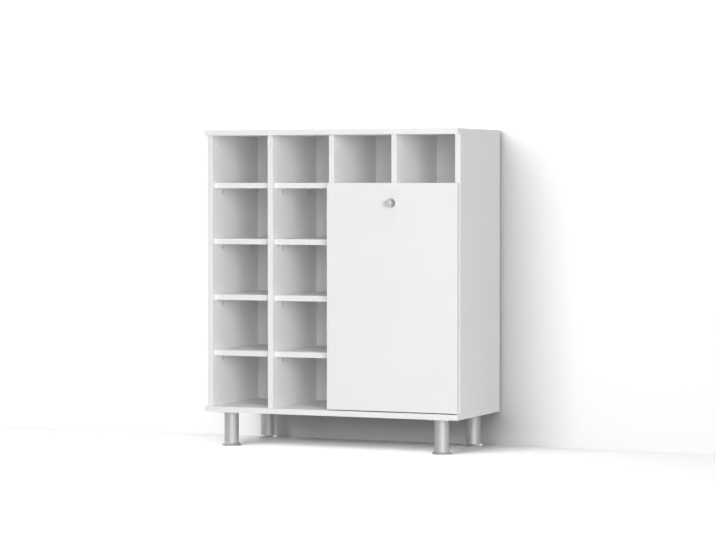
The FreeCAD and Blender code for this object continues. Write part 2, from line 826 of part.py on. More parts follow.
def about_pivot(shape, angle=0.0):
    """Turns a shape made about the X axis rearwards, and carries it to the hinge line."""
    shape.rotate(Vector(), LEFT, angle)
    shape.translate(Vector(0, pivot_y, pivot_z))
    return shape


def ring_sector(x_a, x_b, inner, outer, start, end):
    """A flat bar bent to an arc about the X axis, between two angles from upright."""
    corners = [Vector(x_a, 0, inner), Vector(x_b, 0, inner), Vector(x_b, 0, outer), Vector(x_a, 0, outer)]
    section = Part.Face(Part.makePolygon([*corners, corners[0]]))
    section.rotate(Vector(), LEFT, start)
    return section.revolve(Vector(), LEFT, end - start)


def stay(name, wall_node, wall_x, side):
    """Quadrant stay on the flap, and the guide on the wall that its head stops against."""
    bar_x = wall_x + side * stay_wall_gap
    bar_end_x = bar_x + side * stay_thickness
    half_width = stay_width / 2
    half_head = stay_head_width / 2
    half_guide = guide_length / 2
    guide_reach = side_front_y + guide_setback - pivot_y
    guide_angle = math.degrees(math.asin(guide_reach / stay_radius))
    head_lead = math.degrees(math.asin((half_guide + guide_stop_clearance) / (stay_radius - half_head)))
    head_start = guide_angle + flap_opening + head_lead
    head_end = head_start + math.degrees(stay_head_length / stay_radius)
    inner = stay_radius - half_width
    outer = stay_radius + half_width
    bar = ring_sector(bar_x, bar_end_x, inner, outer, 0, head_end)
    flap_side = block(bar_x, bar_end_x, 0, pin_to_rear, inner - stay_width, outer + stay_width)
    head = ring_sector(
        bar_x, bar_end_x, stay_radius - half_head, stay_radius + half_head, head_start, head_end
    )
    head = ease(head, stay_head_corner, (RIGHT,), lambda middle: True)
    tab_middle = Vector(bar_x + side * stay_tab_length / 2, pin_to_rear, stay_radius)
    tab_sides = (stay_tab_height, stay_tab_length, stay_tab_corner)
    tab = rounded_plate(tab_middle, UP, RIGHT, *tab_sides, stay_thickness)
    arm = bar.cut(flap_side).fuse([head, tab]).removeSplitter()
    add(f"stay_arm_{name}", about_pivot(arm))
    screw_x = bar_x + side * (stay_thickness + stay_tab_length) / 2
    for shift in (-stay_screw_spacing / 2, stay_screw_spacing / 2):
        seat = Vector(screw_x, flap_rear_y + stay_thickness, pivot_z + stay_radius + shift)
        drive_screw("flap_screws", seat, FORWARD, f"stay_arm_{name}", "flap_panel")
    opening_near = bar_x - side * guide_clearance
    opening_far = bar_end_x + side * guide_clearance
    half_opening = half_width + guide_clearance
    half_body = half_opening + guide_wall
    half_ears = half_body + guide_ear_length
    body_end_x = opening_far + side * guide_wall
    body = block(
        wall_x, body_end_x, -half_guide, half_guide, stay_radius - half_body, stay_radius + half_body
    )
    at_end = guide_edge_radius / 2
    body = ease(
        body, guide_edge_radius, (REARWARD, UP), lambda middle: abs(middle.x - body_end_x) < at_end
    )
    ear_sides = (guide_length, 2 * half_ears, guide_ear_corner)
    wall_spot = Vector(wall_x, 0, stay_radius)
    ears = rounded_plate(wall_spot, REARWARD * side, UP, *ear_sides, guide_ear_thickness)
    slot = block(
        opening_near,
        opening_far,
        -guide_length,
        guide_length,
        stay_radius - half_opening,
        stay_radius + half_opening,
    )
    guide = body.fuse(ears).removeSplitter().cut(slot)
    add(f"stay_guide_{name}", about_pivot(guide, guide_angle))
    turn = math.radians(guide_angle)
    for shift in (-1, 1):
        reach = stay_radius + shift * (half_body + guide_ear_length / 2)
        seat_y = pivot_y + reach * math.sin(turn)
        seat_z = pivot_z + reach * math.cos(turn)
        seat = Vector(wall_x + side * guide_ear_thickness, seat_y, seat_z)
        drive_screw("fitting_screws", seat, RIGHT * -side, f"stay_guide_{name}", wall_node)


def stays():
    """One stay beside each wall of the hamper."""
    stay("left", "centre_divider", hamper_left_x, 1)
    stay("right", "right_side", right_side_x, -1)


def catch():
    """Magnetic catch under the fixed shelf, its strike plate on the flap, and two buffers."""
    strike_rear = flap_rear_y + strike_thickness
    pole_front = strike_rear + buffer_gap
    case_front = pole_front + pole_reach
    case_rear = case_front + catch_depth
    case_low = hamper_shelf_z - catch_height
    half = catch_width / 2
    half_span = catch_ear_span / 2
    case_spot = Vector(flap_mid_x, (case_front + case_rear) / 2, hamper_shelf_z)
    case_sides = (catch_depth, catch_width, catch_corner)
    case = rounded_plate(case_spot, REARWARD, RIGHT, *case_sides, catch_height)
    ear_front = case_front + catch_ear_setback
    ear_low = hamper_shelf_z - catch_ear_thickness
    ear_spot = Vector(flap_mid_x, (ear_front + case_rear) / 2, hamper_shelf_z)
    ear_sides = (case_rear - ear_front, catch_ear_span, catch_ear_corner)
    ears = rounded_plate(ear_spot, REARWARD, RIGHT, *ear_sides, catch_ear_thickness)
    pocket_half = half - catch_wall
    pocket_low = case_low + catch_wall
    pocket_high = ear_low - catch_wall
    pocket_rear = case_rear - catch_wall
    pocket = block(
        flap_mid_x - pocket_half, flap_mid_x + pocket_half, case_front, pocket_rear, pocket_low, pocket_high
    )
    add("catch_case", case.fuse(ears).removeSplitter().cut(pocket))
    core_half = pocket_half - catch_pocket_clearance
    core_low = pocket_low + catch_pocket_clearance
    core_high = pocket_high - catch_pocket_clearance
    core_left = flap_mid_x - core_half
    core_right = flap_mid_x + core_half
    magnet_low = core_low + pole_thickness
    magnet_high = core_high - pole_thickness
    lower_pole = block(core_left, core_right, pole_front, pocket_rear, core_low, magnet_low)
    upper_pole = block(core_left, core_right, pole_front, pocket_rear, magnet_high, core_high)
    magnet_front = pole_front + magnet_recess
    magnet = block(core_left, core_right, magnet_front, pocket_rear, magnet_low, magnet_high)
    add("catch_magnet", lower_pole, magnet, upper_pole)
    ear_middle = (half + half_span) / 2
    for side in (-1, 1):
        seat = Vector(flap_mid_x + side * ear_middle, ear_spot.y, ear_low)
        drive_screw("fitting_screws", seat, UP, "catch_case", "hamper_shelf")
    strike_middle = (pocket_low + pocket_high) / 2
    half_strike = strike_length / 2
    strike_spot = Vector(flap_mid_x, flap_rear_y, strike_middle)
    strike_sides = (strike_height, strike_length, strike_corner)
    add("strike_plate", rounded_plate(strike_spot, UP, RIGHT, *strike_sides, strike_thickness))
    for side in (-1, 1):
        seat = Vector(flap_mid_x + side * (half + half_strike) / 2, strike_rear, strike_middle)
        drive_screw("flap_screws", seat, FORWARD, "strike_plate", "flap_panel")
    for x in (hamper_left_x + buffer_inset, right_side_x - buffer_inset):
        start = Vector(x, side_front_y, hamper_shelf_z + board / 2)
        add("flap_buffers", button(buffer_radius, flap_back_gap - buffer_gap, buffer_round, start, FORWARD))


def bag_frame():
    """Wire frame: a level loop with two hooks that drop into sockets on the back of the flap."""
    frame_z = hamper_shelf_z - frame_below_ceiling
    front = flap_rear_y + frame_standoff
    rear = front + frame_depth
    left = hamper_left_x + frame_side_gap
    right = right_side_x - frame_side_gap
    loop_corners = [
        Vector(left, front, frame_z),
        Vector(right, front, frame_z),
        Vector(right, rear, frame_z),
        Vector(left, rear, frame_z),
    ]
    loop = bent_rod(loop_corners, frame_corner, wire_radius, closed=True)
    hooks = []
    hook_y = flap_rear_y + hook_standoff
    hook_end_z = frame_z - hook_drop
    straight_inset = frame_corner + hook_inset
    hook_places = (left + straight_inset, right - straight_inset)
    for x in hook_places:
        route = [Vector(x, front, frame_z), Vector(x, hook_y, frame_z), Vector(x, hook_y, hook_end_z)]
        hooks.append(bent_rod(route, hook_bend, hook_radius))
        frame_socket(x, hook_y, hook_end_z)
    add("bag_frame", loop.fuse(hooks))
    return loop_corners, hook_places


def frame_socket(x, hook_y, hook_end_z):
    """Moulded socket on the flap that a hook of the bag's frame drops into."""
    low = hook_end_z - socket_floor
    high = low + socket_height
    half_width = socket_width / 2
    socket_rear = flap_rear_y + socket_depth
    outline = rounded_outline(
        x - half_width, x + half_width, flap_rear_y - socket_corner, socket_rear, socket_corner, low
    )
    boss = Part.Face(outline).extrude(UP * socket_height)
    body = boss.common(block(x - half_width, x + half_width, flap_rear_y, socket_rear, low, high))
    flange_rear = flap_rear_y + socket_flange_thickness
    flange_spot = Vector(x, flap_rear_y, (low + high) / 2)
    flange_sides = (socket_height, socket_flange_span, socket_flange_corner)
    flange = rounded_plate(flange_spot, UP, RIGHT, *flange_sides, socket_flange_thickness)
    hole_radius = hook_radius + socket_bore_clearance
    hole = rod(hole_radius, socket_height, Vector(x, hook_y, hook_end_z), UP)
    lead_in = Part.makeCone(
        hole_radius, hole_radius + socket_lead, socket_lead, Vector(x, hook_y, high - socket_lead), UP
    )
    add("frame_sockets", body.fuse(flange).removeSplitter().cut([hole, lead_in]))
    screw_reach = (half_width + socket_flange_span / 2) / 2
    for side in (-1, 1):
        seat = Vector(x + side * screw_reach, flange_rear, flange_spot.z)
        drive_screw("flap_screws", seat, FORWARD, "frame_sockets", "flap_panel")


def laundry_bag(loop_corners, hook_places):
    """Open fabric bag whose hem is a sleeve round the wire, slit where the hooks leave it."""
    near, far = loop_corners[0], loop_corners[2]
    frame_z = near.z
    hem_radius = wire_radius + sleeve_clearance
    sleeve = bent_rod(loop_corners, frame_corner, hem_radius + sleeve_wall, closed=True)
    tunnel = bent_rod(loop_corners, frame_corner, hem_radius, closed=True)
    top = frame_z - hem_radius - sleeve_wall / 2
    bottom = deck_z + bag_floor_clearance
    half_wall = bag_wall / 2

    def outline(grow, z, corner):
        return rounded_outline(near.x - grow, far.x + grow, near.y - grow, far.y + grow, corner + grow, z)

    outer_foot = outline(half_wall - bag_taper, bottom, bag_corner_bottom)
    outer_mouth = outline(half_wall, top, frame_corner)
    inner_foot = outline(-half_wall - bag_taper, bottom + bag_wall, bag_corner_bottom)
    inner_mouth = outline(-half_wall, top, frame_corner)
    body = Part.makeLoft([outer_foot, outer_mouth], True, True)
    hollow = Part.makeLoft([inner_foot, inner_mouth], True, True)
    bag = body.cut(hollow).fuse(sleeve).cut(tunnel)
    slit_low = frame_z - wire_radius - sleeve_clearance
    for x in hook_places:
        slit = block(
            x - sleeve_slit / 2,
            x + sleeve_slit / 2,
            near.y - 2 * hem_radius,
            near.y + 2 * hem_radius,
            slit_low,
            frame_z + 2 * hem_radius,
        )
        bag = bag.cut(slit)
    add("laundry_bag", bag)


def write_pieces():
    """Cuts every hole and writes each piece, or group of like pieces, to its own file."""
    os.makedirs("parts", exist_ok=True)
    for node, solids in pieces.items():
        tools = cuts.get(node, [])
        shaped = [solid.cut(tools) if tools else solid for solid in solids]
        finished = [solid for shape in shaped for solid in shape.Solids]
        whole = finished[0] if len(finished) == 1 else Part.makeCompound(finished)
        whole.exportStep(f"parts/{node}.step")


carcass_boards()
carcass_fittings()
back()
shelves()
legs()
flap()
hinges()
stays()
catch()
laundry_bag(*bag_frame())
write_pieces()
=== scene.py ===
import math

import bmesh
import bpy
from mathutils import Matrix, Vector


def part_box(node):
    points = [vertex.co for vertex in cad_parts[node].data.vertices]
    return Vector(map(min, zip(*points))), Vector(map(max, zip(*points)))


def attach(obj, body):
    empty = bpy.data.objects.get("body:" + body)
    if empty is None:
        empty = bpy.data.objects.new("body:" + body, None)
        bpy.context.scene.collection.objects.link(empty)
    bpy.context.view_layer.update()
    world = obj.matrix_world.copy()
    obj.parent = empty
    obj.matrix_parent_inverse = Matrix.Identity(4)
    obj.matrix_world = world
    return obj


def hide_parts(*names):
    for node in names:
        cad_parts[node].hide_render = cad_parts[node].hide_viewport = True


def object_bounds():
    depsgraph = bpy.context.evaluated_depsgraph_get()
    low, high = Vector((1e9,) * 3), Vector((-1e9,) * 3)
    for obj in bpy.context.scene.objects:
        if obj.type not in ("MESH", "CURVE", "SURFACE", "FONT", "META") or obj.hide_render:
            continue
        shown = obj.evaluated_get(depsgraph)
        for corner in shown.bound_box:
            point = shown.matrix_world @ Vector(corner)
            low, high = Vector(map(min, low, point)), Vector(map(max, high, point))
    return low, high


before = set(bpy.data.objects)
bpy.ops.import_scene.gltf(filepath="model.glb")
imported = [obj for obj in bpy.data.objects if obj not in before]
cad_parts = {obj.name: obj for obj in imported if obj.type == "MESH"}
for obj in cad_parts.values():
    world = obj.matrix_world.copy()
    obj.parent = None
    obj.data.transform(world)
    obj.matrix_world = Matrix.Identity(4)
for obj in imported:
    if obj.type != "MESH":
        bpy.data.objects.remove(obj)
cad_low, cad_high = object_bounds()
scene = bpy.context.scene
scene.view_settings.view_transform = "Standard"


# Top and bottom panels: 16 mm chipboard faced with matt white melamine paper, which has a fine pearl grain.
# They lie across the whole width. White strips are ironed onto the edges that show, and each leaves a
# hairline joint just inside its edge. The rear edges are bare chipboard.

melamine_white = (0.92, 0.92, 0.92, 1.0)
melamine_cloud = (0.905, 0.905, 0.904, 1.0)
melamine_roughness = 0.65
melamine_shine = 0.25
strip_white = (0.925, 0.925, 0.925, 1.0)
joint_grey = (0.55, 0.54, 0.52, 1.0)
chip_pale = (0.60, 0.47, 0.32, 1.0)
chip_dark = (0.33, 0.23, 0.14, 1.0)
chip_scale = 420.0
chip_roughness = 0.4
grain_scale = 1400.0
grain_share = 0.1
board_relief = 0.0002
face_limit = 0.96
rear_limit = 0.9
strip_thickness = 0.0009
joint_half_width = 0.00008


def add_node(tree, kind, sockets=None, **settings):
    """Adds a node to a tree, sets its options, and feeds its sockets with values or other nodes' sockets."""
    node = tree.nodes.new(kind)
    for option, value in settings.items():
        setattr(node, option, value)
    for socket, value in (sockets or {}).items():
        if isinstance(value, bpy.types.NodeSocket):
            tree.links.new(value, node.inputs[socket])
        else:
            node.inputs[socket].default_value = value
    return node


def sum_of(tree, operation, *values):
    """The result of a Math node on numbers or sockets."""
    return add_node(tree, "ShaderNodeMath", dict(enumerate(values)), operation=operation).outputs[0]


def two_tone(tree, share, first, second):
    """A colour that goes from the first to the second by a share from 0 to 1."""
    mix = add_node(tree, "ShaderNodeMix", {0: share, 6: first, 7: second}, data_type="RGBA")
    return mix.outputs[2]


def stretched(tree, place, scale, centre=(0.0, 0.0, 0.0)):
    """Coordinates drawn out by a scale on each axis, about a centre."""
    shift = tuple(-length * factor for length, factor in zip(centre, scale))
    sockets = {"Vector": place, "Location": shift, "Scale": scale}
    return add_node(tree, "ShaderNodeMapping", sockets).outputs[0]


def cloudy(tree, place, scale, detail=2.0, low=0.0, high=1.0):
    """A noise spread over a range of values. Its scale is one number, or one for each axis."""
    if isinstance(scale, tuple):
        place = stretched(tree, place, scale)
        scale = 1.0
    noise = add_node(tree, "ShaderNodeTexNoise", {"Vector": place, "Scale": scale, "Detail": detail})
    spread = {0: noise.outputs["Fac"], 1: 0.3, 2: 0.7, 3: low, 4: high}
    return add_node(tree, "ShaderNodeMapRange", spread).outputs[0]


def raised(tree, shader, height, depth, strength=1.0):
    """Gives a surface the relief of a height field, in metres from its lowest to its highest point."""
    relief = add_node(tree, "ShaderNodeBump", {"Height": height, "Distance": depth, "Strength": strength})
    tree.links.new(relief.outputs[0], shader.inputs["Normal"])


def new_finish(name, colour, roughness, metallic=0.0):
    """A new material, its tree, its shader and the object's own coordinates."""
    material = bpy.data.materials.new(name)
    material.use_nodes = True
    tree = material.node_tree
    shader = tree.nodes["Principled BSDF"]
    shader.inputs["Base Color"].default_value = colour
    shader.inputs["Roughness"].default_value = roughness
    shader.inputs["Metallic"].default_value = metallic
    return material, tree, shader, add_node(tree, "ShaderNodeTexCoord").outputs


def melamine_board(name, face_axis, joints, bare_rear=True):
    """Matt white melamine: grained faces across one axis, plain strips, hairline joints, bare rear edge."""
    material, tree, shader, place = new_finish(name, melamine_white, melamine_roughness)
    shader.inputs["Specular IOR Level"].default_value = melamine_shine
    spot = add_node(tree, "ShaderNodeSeparateXYZ", {0: place["Object"]}).outputs
    outward = add_node(tree, "ShaderNodeSeparateXYZ", {0: place["Normal"]}).outputs
    squareness = sum_of(tree, "ABSOLUTE", outward[face_axis])
    on_face = sum_of(tree, "GREATER_THAN", squareness, face_limit)
    paper = two_tone(tree, cloudy(tree, place["Object"], 5.0), melamine_white, melamine_cloud)
    colour = two_tone(tree, on_face, strip_white, paper)
    for axis, position in joints:
        at_joint = sum_of(tree, "COMPARE", spot[axis], position, joint_half_width)
        colour = two_tone(tree, sum_of(tree, "MULTIPLY", at_joint, on_face), colour, joint_grey)
    gloss = cloudy(tree, place["Object"], 60.0, low=0.60, high=0.72)
    grain = cloudy(tree, place["Object"], grain_scale, high=grain_share)
    relief = sum_of(tree, "MULTIPLY", grain, on_face)
    if bare_rear:
        bare = sum_of(tree, "GREATER_THAN", outward["Y"], rear_limit)
        chips = add_node(tree, "ShaderNodeTexVoronoi", {"Vector": place["Object"], "Scale": chip_scale})
        chip_tone = add_node(tree, "ShaderNodeSeparateXYZ", {0: chips.outputs["Color"]}).outputs[0]
        colour = two_tone(tree, bare, colour, two_tone(tree, chip_tone, chip_pale, chip_dark))
        gloss = sum_of(tree, "MULTIPLY_ADD", bare, chip_roughness, gloss)
        relief = sum_of(tree, "MULTIPLY_ADD", bare, chip_tone, relief)
    tree.links.new(colour, shader.inputs["Base Color"])
    tree.links.new(gloss, shader.inputs["Roughness"])
    raised(tree, shader, relief, board_relief, 0.5)
    return material


def dress(material, *names):
    """Puts a finish on pieces, by their names."""
    for name in names:
        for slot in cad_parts[name].material_slots:
            slot.material = material


panel_low, panel_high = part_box("top_panel")
panel_joints = [
    ("X", panel_low.x + strip_thickness),
    ("X", panel_high.x - strip_thickness),
    ("Y", panel_low.y + strip_thickness),
]
dress(melamine_board("melamine lying panel", "Z", panel_joints), "top_panel", "bottom_panel")


# Sides, dividers and upper partition: upright boards of the same white melamine, set between top and bottom.
# Only their front edges show, and only these are stripped.

side_joint = ("Y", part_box("left_side")[0].y + strip_thickness)
uprights = ("left_side", "left_divider", "centre_divider", "upper_partition", "right_side")
dress(melamine_board("melamine upright", "X", [side_joint]), *uprights)


# Shelves: eight loose boards on four supports each, set back from the front, and one fixed board over the
# hamper that the flap's upper edge covers. The same melamine, with a strip along the front edge.

loose_shelves = [f"{column}_shelf_{row}" for column in ("left", "middle") for row in range(1, 5)]
loose_joint = ("Y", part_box("left_shelf_1")[0].y + strip_thickness)
dress(melamine_board("melamine loose shelf", "Z", [loose_joint]), *loose_shelves)
hamper_joint = ("Y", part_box("hamper_shelf")[0].y + strip_thickness)
dress(melamine_board("melamine fixed shelf", "Z", [hamper_joint]), "hamper_shelf")


# Back panel: 3 mm hardboard, lacquered white on the inside, raw brown behind with the print of the press's
# wire screen. It slides in a groove and is screwed to the dividers.

lacquer_white = (0.91, 0.91, 0.91, 1.0)
lacquer_cloud = (0.895, 0.895, 0.893, 1.0)
lacquer_roughness = 0.46
lacquer_skin = 0.12
hardboard_brown = (0.27, 0.165, 0.09, 1.0)
hardboard_pale = (0.37, 0.245, 0.145, 1.0)
raw_roughness_gain = 0.32
raw_side_inset = 0.001
screen_pitch = 0.0022
bands_per_metre = 20.0 / (2.0 * math.pi)


def banding(tree, place, axis, pitch):
    """Even bands across one axis, one for each pitch."""
    scale = {"Vector": place, "Scale": 1.0 / (pitch * bands_per_metre)}
    return add_node(tree, "ShaderNodeTexWave", scale, bands_direction=axis).outputs["Fac"]


back_low, back_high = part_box("back_panel")
hardboard, tree, shader, place = new_finish("hardboard lacquered inside", lacquer_white, 0.5)
depth = add_node(tree, "ShaderNodeSeparateXYZ", {0: place["Object"]}).outputs["Y"]
behind = sum_of(tree, "GREATER_THAN", depth, (back_low.y + back_high.y) / 2 + raw_side_inset)
fibres = cloudy(tree, place["Object"], (240.0, 240.0, 240.0), 6.0)
raw_board = two_tone(tree, fibres, hardboard_brown, hardboard_pale)
lacquer = two_tone(tree, cloudy(tree, place["Object"], 7.0), lacquer_white, lacquer_cloud)
tree.links.new(two_tone(tree, behind, lacquer, raw_board), shader.inputs["Base Color"])
roughness = sum_of(tree, "MULTIPLY_ADD", behind, raw_roughness_gain, lacquer_roughness)
tree.links.new(roughness, shader.inputs["Roughness"])
across_screen = banding(tree, place["Object"], "X", screen_pitch)
up_screen = banding(tree, place["Object"], "Z", screen_pitch)
mesh_print = sum_of(tree, "MULTIPLY", across_screen, up_screen)
paint_skin = sum_of(tree, "MULTIPLY", cloudy(tree, place["Object"], 420.0), lacquer_skin)
relief = add_node(tree, "ShaderNodeMix", {0: behind, 2: paint_skin, 3: mesh_print}).outputs[0]
raised(tree, shader, relief, 0.00018, 0.8)
dress(hardboard, "back_panel")


# Knock-down fittings and support pins: die-cast cams and turned bolts that draw the boards together, and the
# headed pins of the shelf supports. All are zinc plated, with a fine mottled spangle and light scuffs.

zinc_light = (0.66, 0.67, 0.68, 1.0)
zinc_dark = (0.55, 0.56, 0.575, 1.0)
zinc, tree, shader, place = new_finish("bright zinc", zinc_light, 0.34, 1.0)
spangle = add_node(tree, "ShaderNodeTexVoronoi", {"Vector": place["Object"], "Scale": 900.0})
spangle_tone = add_node(tree, "ShaderNodeSeparateXYZ", {0: spangle.outputs["Color"]}).outputs[0]
tree.links.new(two_tone(tree, spangle_tone, zinc_light, zinc_dark), shader.inputs["Base Color"])
scuffs = cloudy(tree, place["Object"], (260.0, 1900.0, 700.0), 3.0)
tree.links.new(sum_of(tree, "MULTIPLY_ADD", scuffs, 0.16, 0.27), shader.inputs["Roughness"])
raised(tree, shader, scuffs, 0.00001, 0.6)
dress(zinc, "support_pins", "cam_housings", "cam_bolts")


# Wood dowels: beech, turned with the grain along them and chamfered. They are glued in one board and
# pushed into the next beside each cam.

beech_pale = (0.68, 0.50, 0.33, 1.0)
beech_fleck = (0.53, 0.36, 0.21, 1.0)
beech_grain = (1500.0, 1500.0, 260.0)


def mottled(name, first, second, roughness, scale, detail, depth, strength):
    """A finish in two tones that a noise mixes and raises."""
    material, tree, shader, place = new_finish(name, first, roughness)
    noise = cloudy(tree, place["Object"], scale, detail)
    tree.links.new(two_tone(tree, noise, first, second), shader.inputs["Base Color"])
    raised(tree, shader, noise, depth, strength)
    return material


beech = mottled("turned beech", beech_pale, beech_fleck, 0.6, beech_grain, 4.0, 0.00006, 0.7)
dress(beech, "wood_dowels")


# Shelf supports and other white mouldings: angles under the shelves, caps pressed over the cams, guides of
# the stays, the case of the catch and the sockets of the bag's frame. They are injection moulded, with a
# fine spark-eroded skin.

plastic_white = (0.85, 0.85, 0.84, 1.0)
plastic_cloud = (0.825, 0.825, 0.81, 1.0)
moulding, tree, shader, place = new_finish("white moulding", plastic_white, 0.45)
shade = cloudy(tree, place["Object"], 30.0)
tree.links.new(two_tone(tree, shade, plastic_white, plastic_cloud), shader.inputs["Base Color"])
spark = cloudy(tree, place["Object"], 2600.0)
tree.links.new(sum_of(tree, "MULTIPLY_ADD", spark, 0.14, 0.38), shader.inputs["Roughness"])
raised(tree, shader, spark, 0.000025, 0.6)
small_mouldings = ("shelf_supports", "cam_covers", "catch_case", "frame_sockets")
dress(moulding, *small_mouldings, "stay_guide_left", "stay_guide_right")


# Legs: drawn steel tube, satin plated, that stands on a flared foot and is pushed over a boss on a plate. The
# drawing and the polishing belt leave soft streaks and fine lines along the tube.

satin_light = (0.45, 0.45, 0.446, 1.0)
satin_dark = (0.34, 0.34, 0.338, 1.0)
satin, tree, shader, place = new_finish("satin steel", satin_light, 0.62, 1.0)
streaks = cloudy(tree, place["Object"], (210.0, 210.0, 3.0), 1.0)
belt_lines = cloudy(tree, place["Object"], (2600.0, 2600.0, 24.0), 3.0)
drawn = sum_of(tree, "MULTIPLY", sum_of(tree, "ADD", streaks, belt_lines), 0.5)
tree.links.new(two_tone(tree, drawn, satin_light, satin_dark), shader.inputs["Base Color"])
tree.links.new(sum_of(tree, "MULTIPLY_ADD", belt_lines, 0.12, 0.56), shader.inputs["Roughness"])
raised(tree, shader, belt_lines, 0.000008, 0.5)
dress(satin, *[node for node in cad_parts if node.startswith(("leg_tube", "leg_foot"))])
dress(zinc, *[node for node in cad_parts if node.startswith("leg_plate")])


# Leg glides: grey plastic discs that stand on the floor and scuff as they slide. They are injection moulded
# and pressed into the feet.

glide_grey = (0.42, 0.42, 0.42, 1.0)
glide_scuff = (0.50, 0.50, 0.495, 1.0)
scuff_scale = (300.0, 900.0, 300.0)
glide = mottled("grey moulding", glide_grey, glide_scuff, 0.6, scuff_scale, 4.0, 0.00004, 0.6)
dress(glide, "leg_glides")


# Flap: one board of the same melamine, with strips on all four edges. It tilts out about its lower edge, on
# two hinges that are sunk in its back.

flap_low, flap_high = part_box("flap_panel")
flap_joints = [
    ("X", flap_low.x + strip_thickness),
    ("X", flap_high.x - strip_thickness),
    ("Z", flap_low.z + strip_thickness),
    ("Z", flap_high.z - strip_thickness),
]
dress(melamine_board("melamine flap", "Y", flap_joints, bare_rear=False), "flap_panel")


# Hinges and stays: pressed steel cups sunk in the flap, goose-neck arms on the bottom panel, and quadrant
# stays that run in the guides. All are zinc plated.

hinge_nodes = ("hinge_cup_left", "hinge_cup_right", "hinge_arm_left", "hinge_arm_right", "hinge_pins")
dress(zinc, *hinge_nodes, "stay_arm_left", "stay_arm_right", "strike_plate")


# Magnetic catch and buffers: a dark ferrite block between two steel poles, and soft clear-white buffers that
# quieten the flap as it closes.

ferrite_dark = (0.06, 0.058, 0.055, 1.0)
ferrite_grit = (0.10, 0.095, 0.09, 1.0)
pole_steel = (0.42, 0.42, 0.41, 1.0)
pole_grit = (0.34, 0.34, 0.335, 1.0)
pole_thickness = 0.0015
magnet_low, magnet_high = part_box("catch_magnet")
magnet, tree, shader, place = new_finish("ferrite and poles", ferrite_dark, 0.5)
height = add_node(tree, "ShaderNodeSeparateXYZ", {0: place["Object"]}).outputs["Z"]
core_half = (magnet_high.z - magnet_low.z) / 2 - pole_thickness
in_core = sum_of(tree, "COMPARE", height, (magnet_low.z + magnet_high.z) / 2, core_half)
grit = cloudy(tree, place["Object"], 1500.0, 4.0)
ferrite = two_tone(tree, grit, ferrite_dark, ferrite_grit)
steel = two_tone(tree, grit, pole_steel, pole_grit)
tree.links.new(two_tone(tree, in_core, steel, ferrite), shader.inputs["Base Color"])
tree.links.new(sum_of(tree, "SUBTRACT", 1.0, in_core), shader.inputs["Metallic"])
raised(tree, shader, grit, 0.00003, 0.6)
dress(magnet, "catch_magnet")

rubber_white = (0.78, 0.78, 0.77, 1.0)
rubber_bloom = (0.73, 0.73, 0.72, 1.0)
rubber = mottled("soft buffer", rubber_white, rubber_bloom, 0.55, 700.0, 3.0, 0.00002, 0.5)
dress(rubber, "flap_buffers")


# Knob and rosette: turned, nickel plated and brushed on the lathe, so fine rings run round their axis. One
# screw through the flap holds both.

nickel_light = (0.50, 0.496, 0.485, 1.0)
nickel_dark = (0.40, 0.397, 0.388, 1.0)
lathe_pitch = 0.00028
knob_low, knob_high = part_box("knob")
knob_centre = (knob_low + knob_high) / 2
nickel, tree, shader, place = new_finish("brushed nickel", nickel_light, 0.3, 1.0)
on_axis = stretched(tree, place["Object"], (1.0, 1.0, 1.0), knob_centre)
rings = add_node(
    tree,
    "ShaderNodeTexWave",
    {"Vector": on_axis, "Scale": 1.0 / (lathe_pitch * bands_per_metre), "Distortion": 1.2, "Detail": 2.0},
    wave_type="RINGS",
    rings_direction="Y",
).outputs["Fac"]
brushing = cloudy(tree, place["Object"], (500.0, 2600.0, 500.0), 3.0)
tree.links.new(two_tone(tree, brushing, nickel_light, nickel_dark), shader.inputs["Base Color"])
tree.links.new(sum_of(tree, "MULTIPLY_ADD", brushing, 0.12, 0.34), shader.inputs["Roughness"])
raised(tree, shader, rings, 0.000006, 0.6)
dress(nickel, "knob", "knob_rosette")


# Screws: zinc plated pan heads with a cross recess and a coarse thread, driven through the fittings into
# the boards. Each stops at its own angle.

# Shares of the head's and the shank's sizes, and the angle from which an edge is sharp
recess_length = 1.25
recess_width = 0.27
recess_depth = 1.2
dome_power = 0.6
ridge_share = 0.25
threaded_share = 0.86
thread_foot = -0.96
tip_share = 0.04
crease_angle = 0.7


def smoothed(tree, geometry):
    """Geometry that is shaded smooth."""
    sockets = {"Geometry": geometry, "Shade Smooth": True}
    return add_node(tree, "GeometryNodeSetShadeSmooth", sockets).outputs[0]


def lifted(tree, geometry, rise):
    """Geometry moved along its upright axis, down where the rise is below zero."""
    move = add_node(tree, "ShaderNodeCombineXYZ", {"Z": rise}).outputs[0]
    return add_node(tree, "GeometryNodeTransform", {"Geometry": geometry, "Translation": move}).outputs[0]


def joined(tree, *parts):
    """Several geometries as one."""
    join = add_node(tree, "GeometryNodeJoinGeometry")
    for part in parts:
        tree.links.new(part, join.inputs[0])
    return join.outputs[0]


def put_out(tree, instances, finish):
    """Ends a tree: its instances are made real and get their finish."""
    real = add_node(tree, "GeometryNodeRealizeInstances", {0: instances}).outputs[0]
    painted = add_node(tree, "GeometryNodeSetMaterial", {"Geometry": real, "Material": finish})
    add_node(tree, "NodeGroupOutput", {0: painted.outputs[0]})


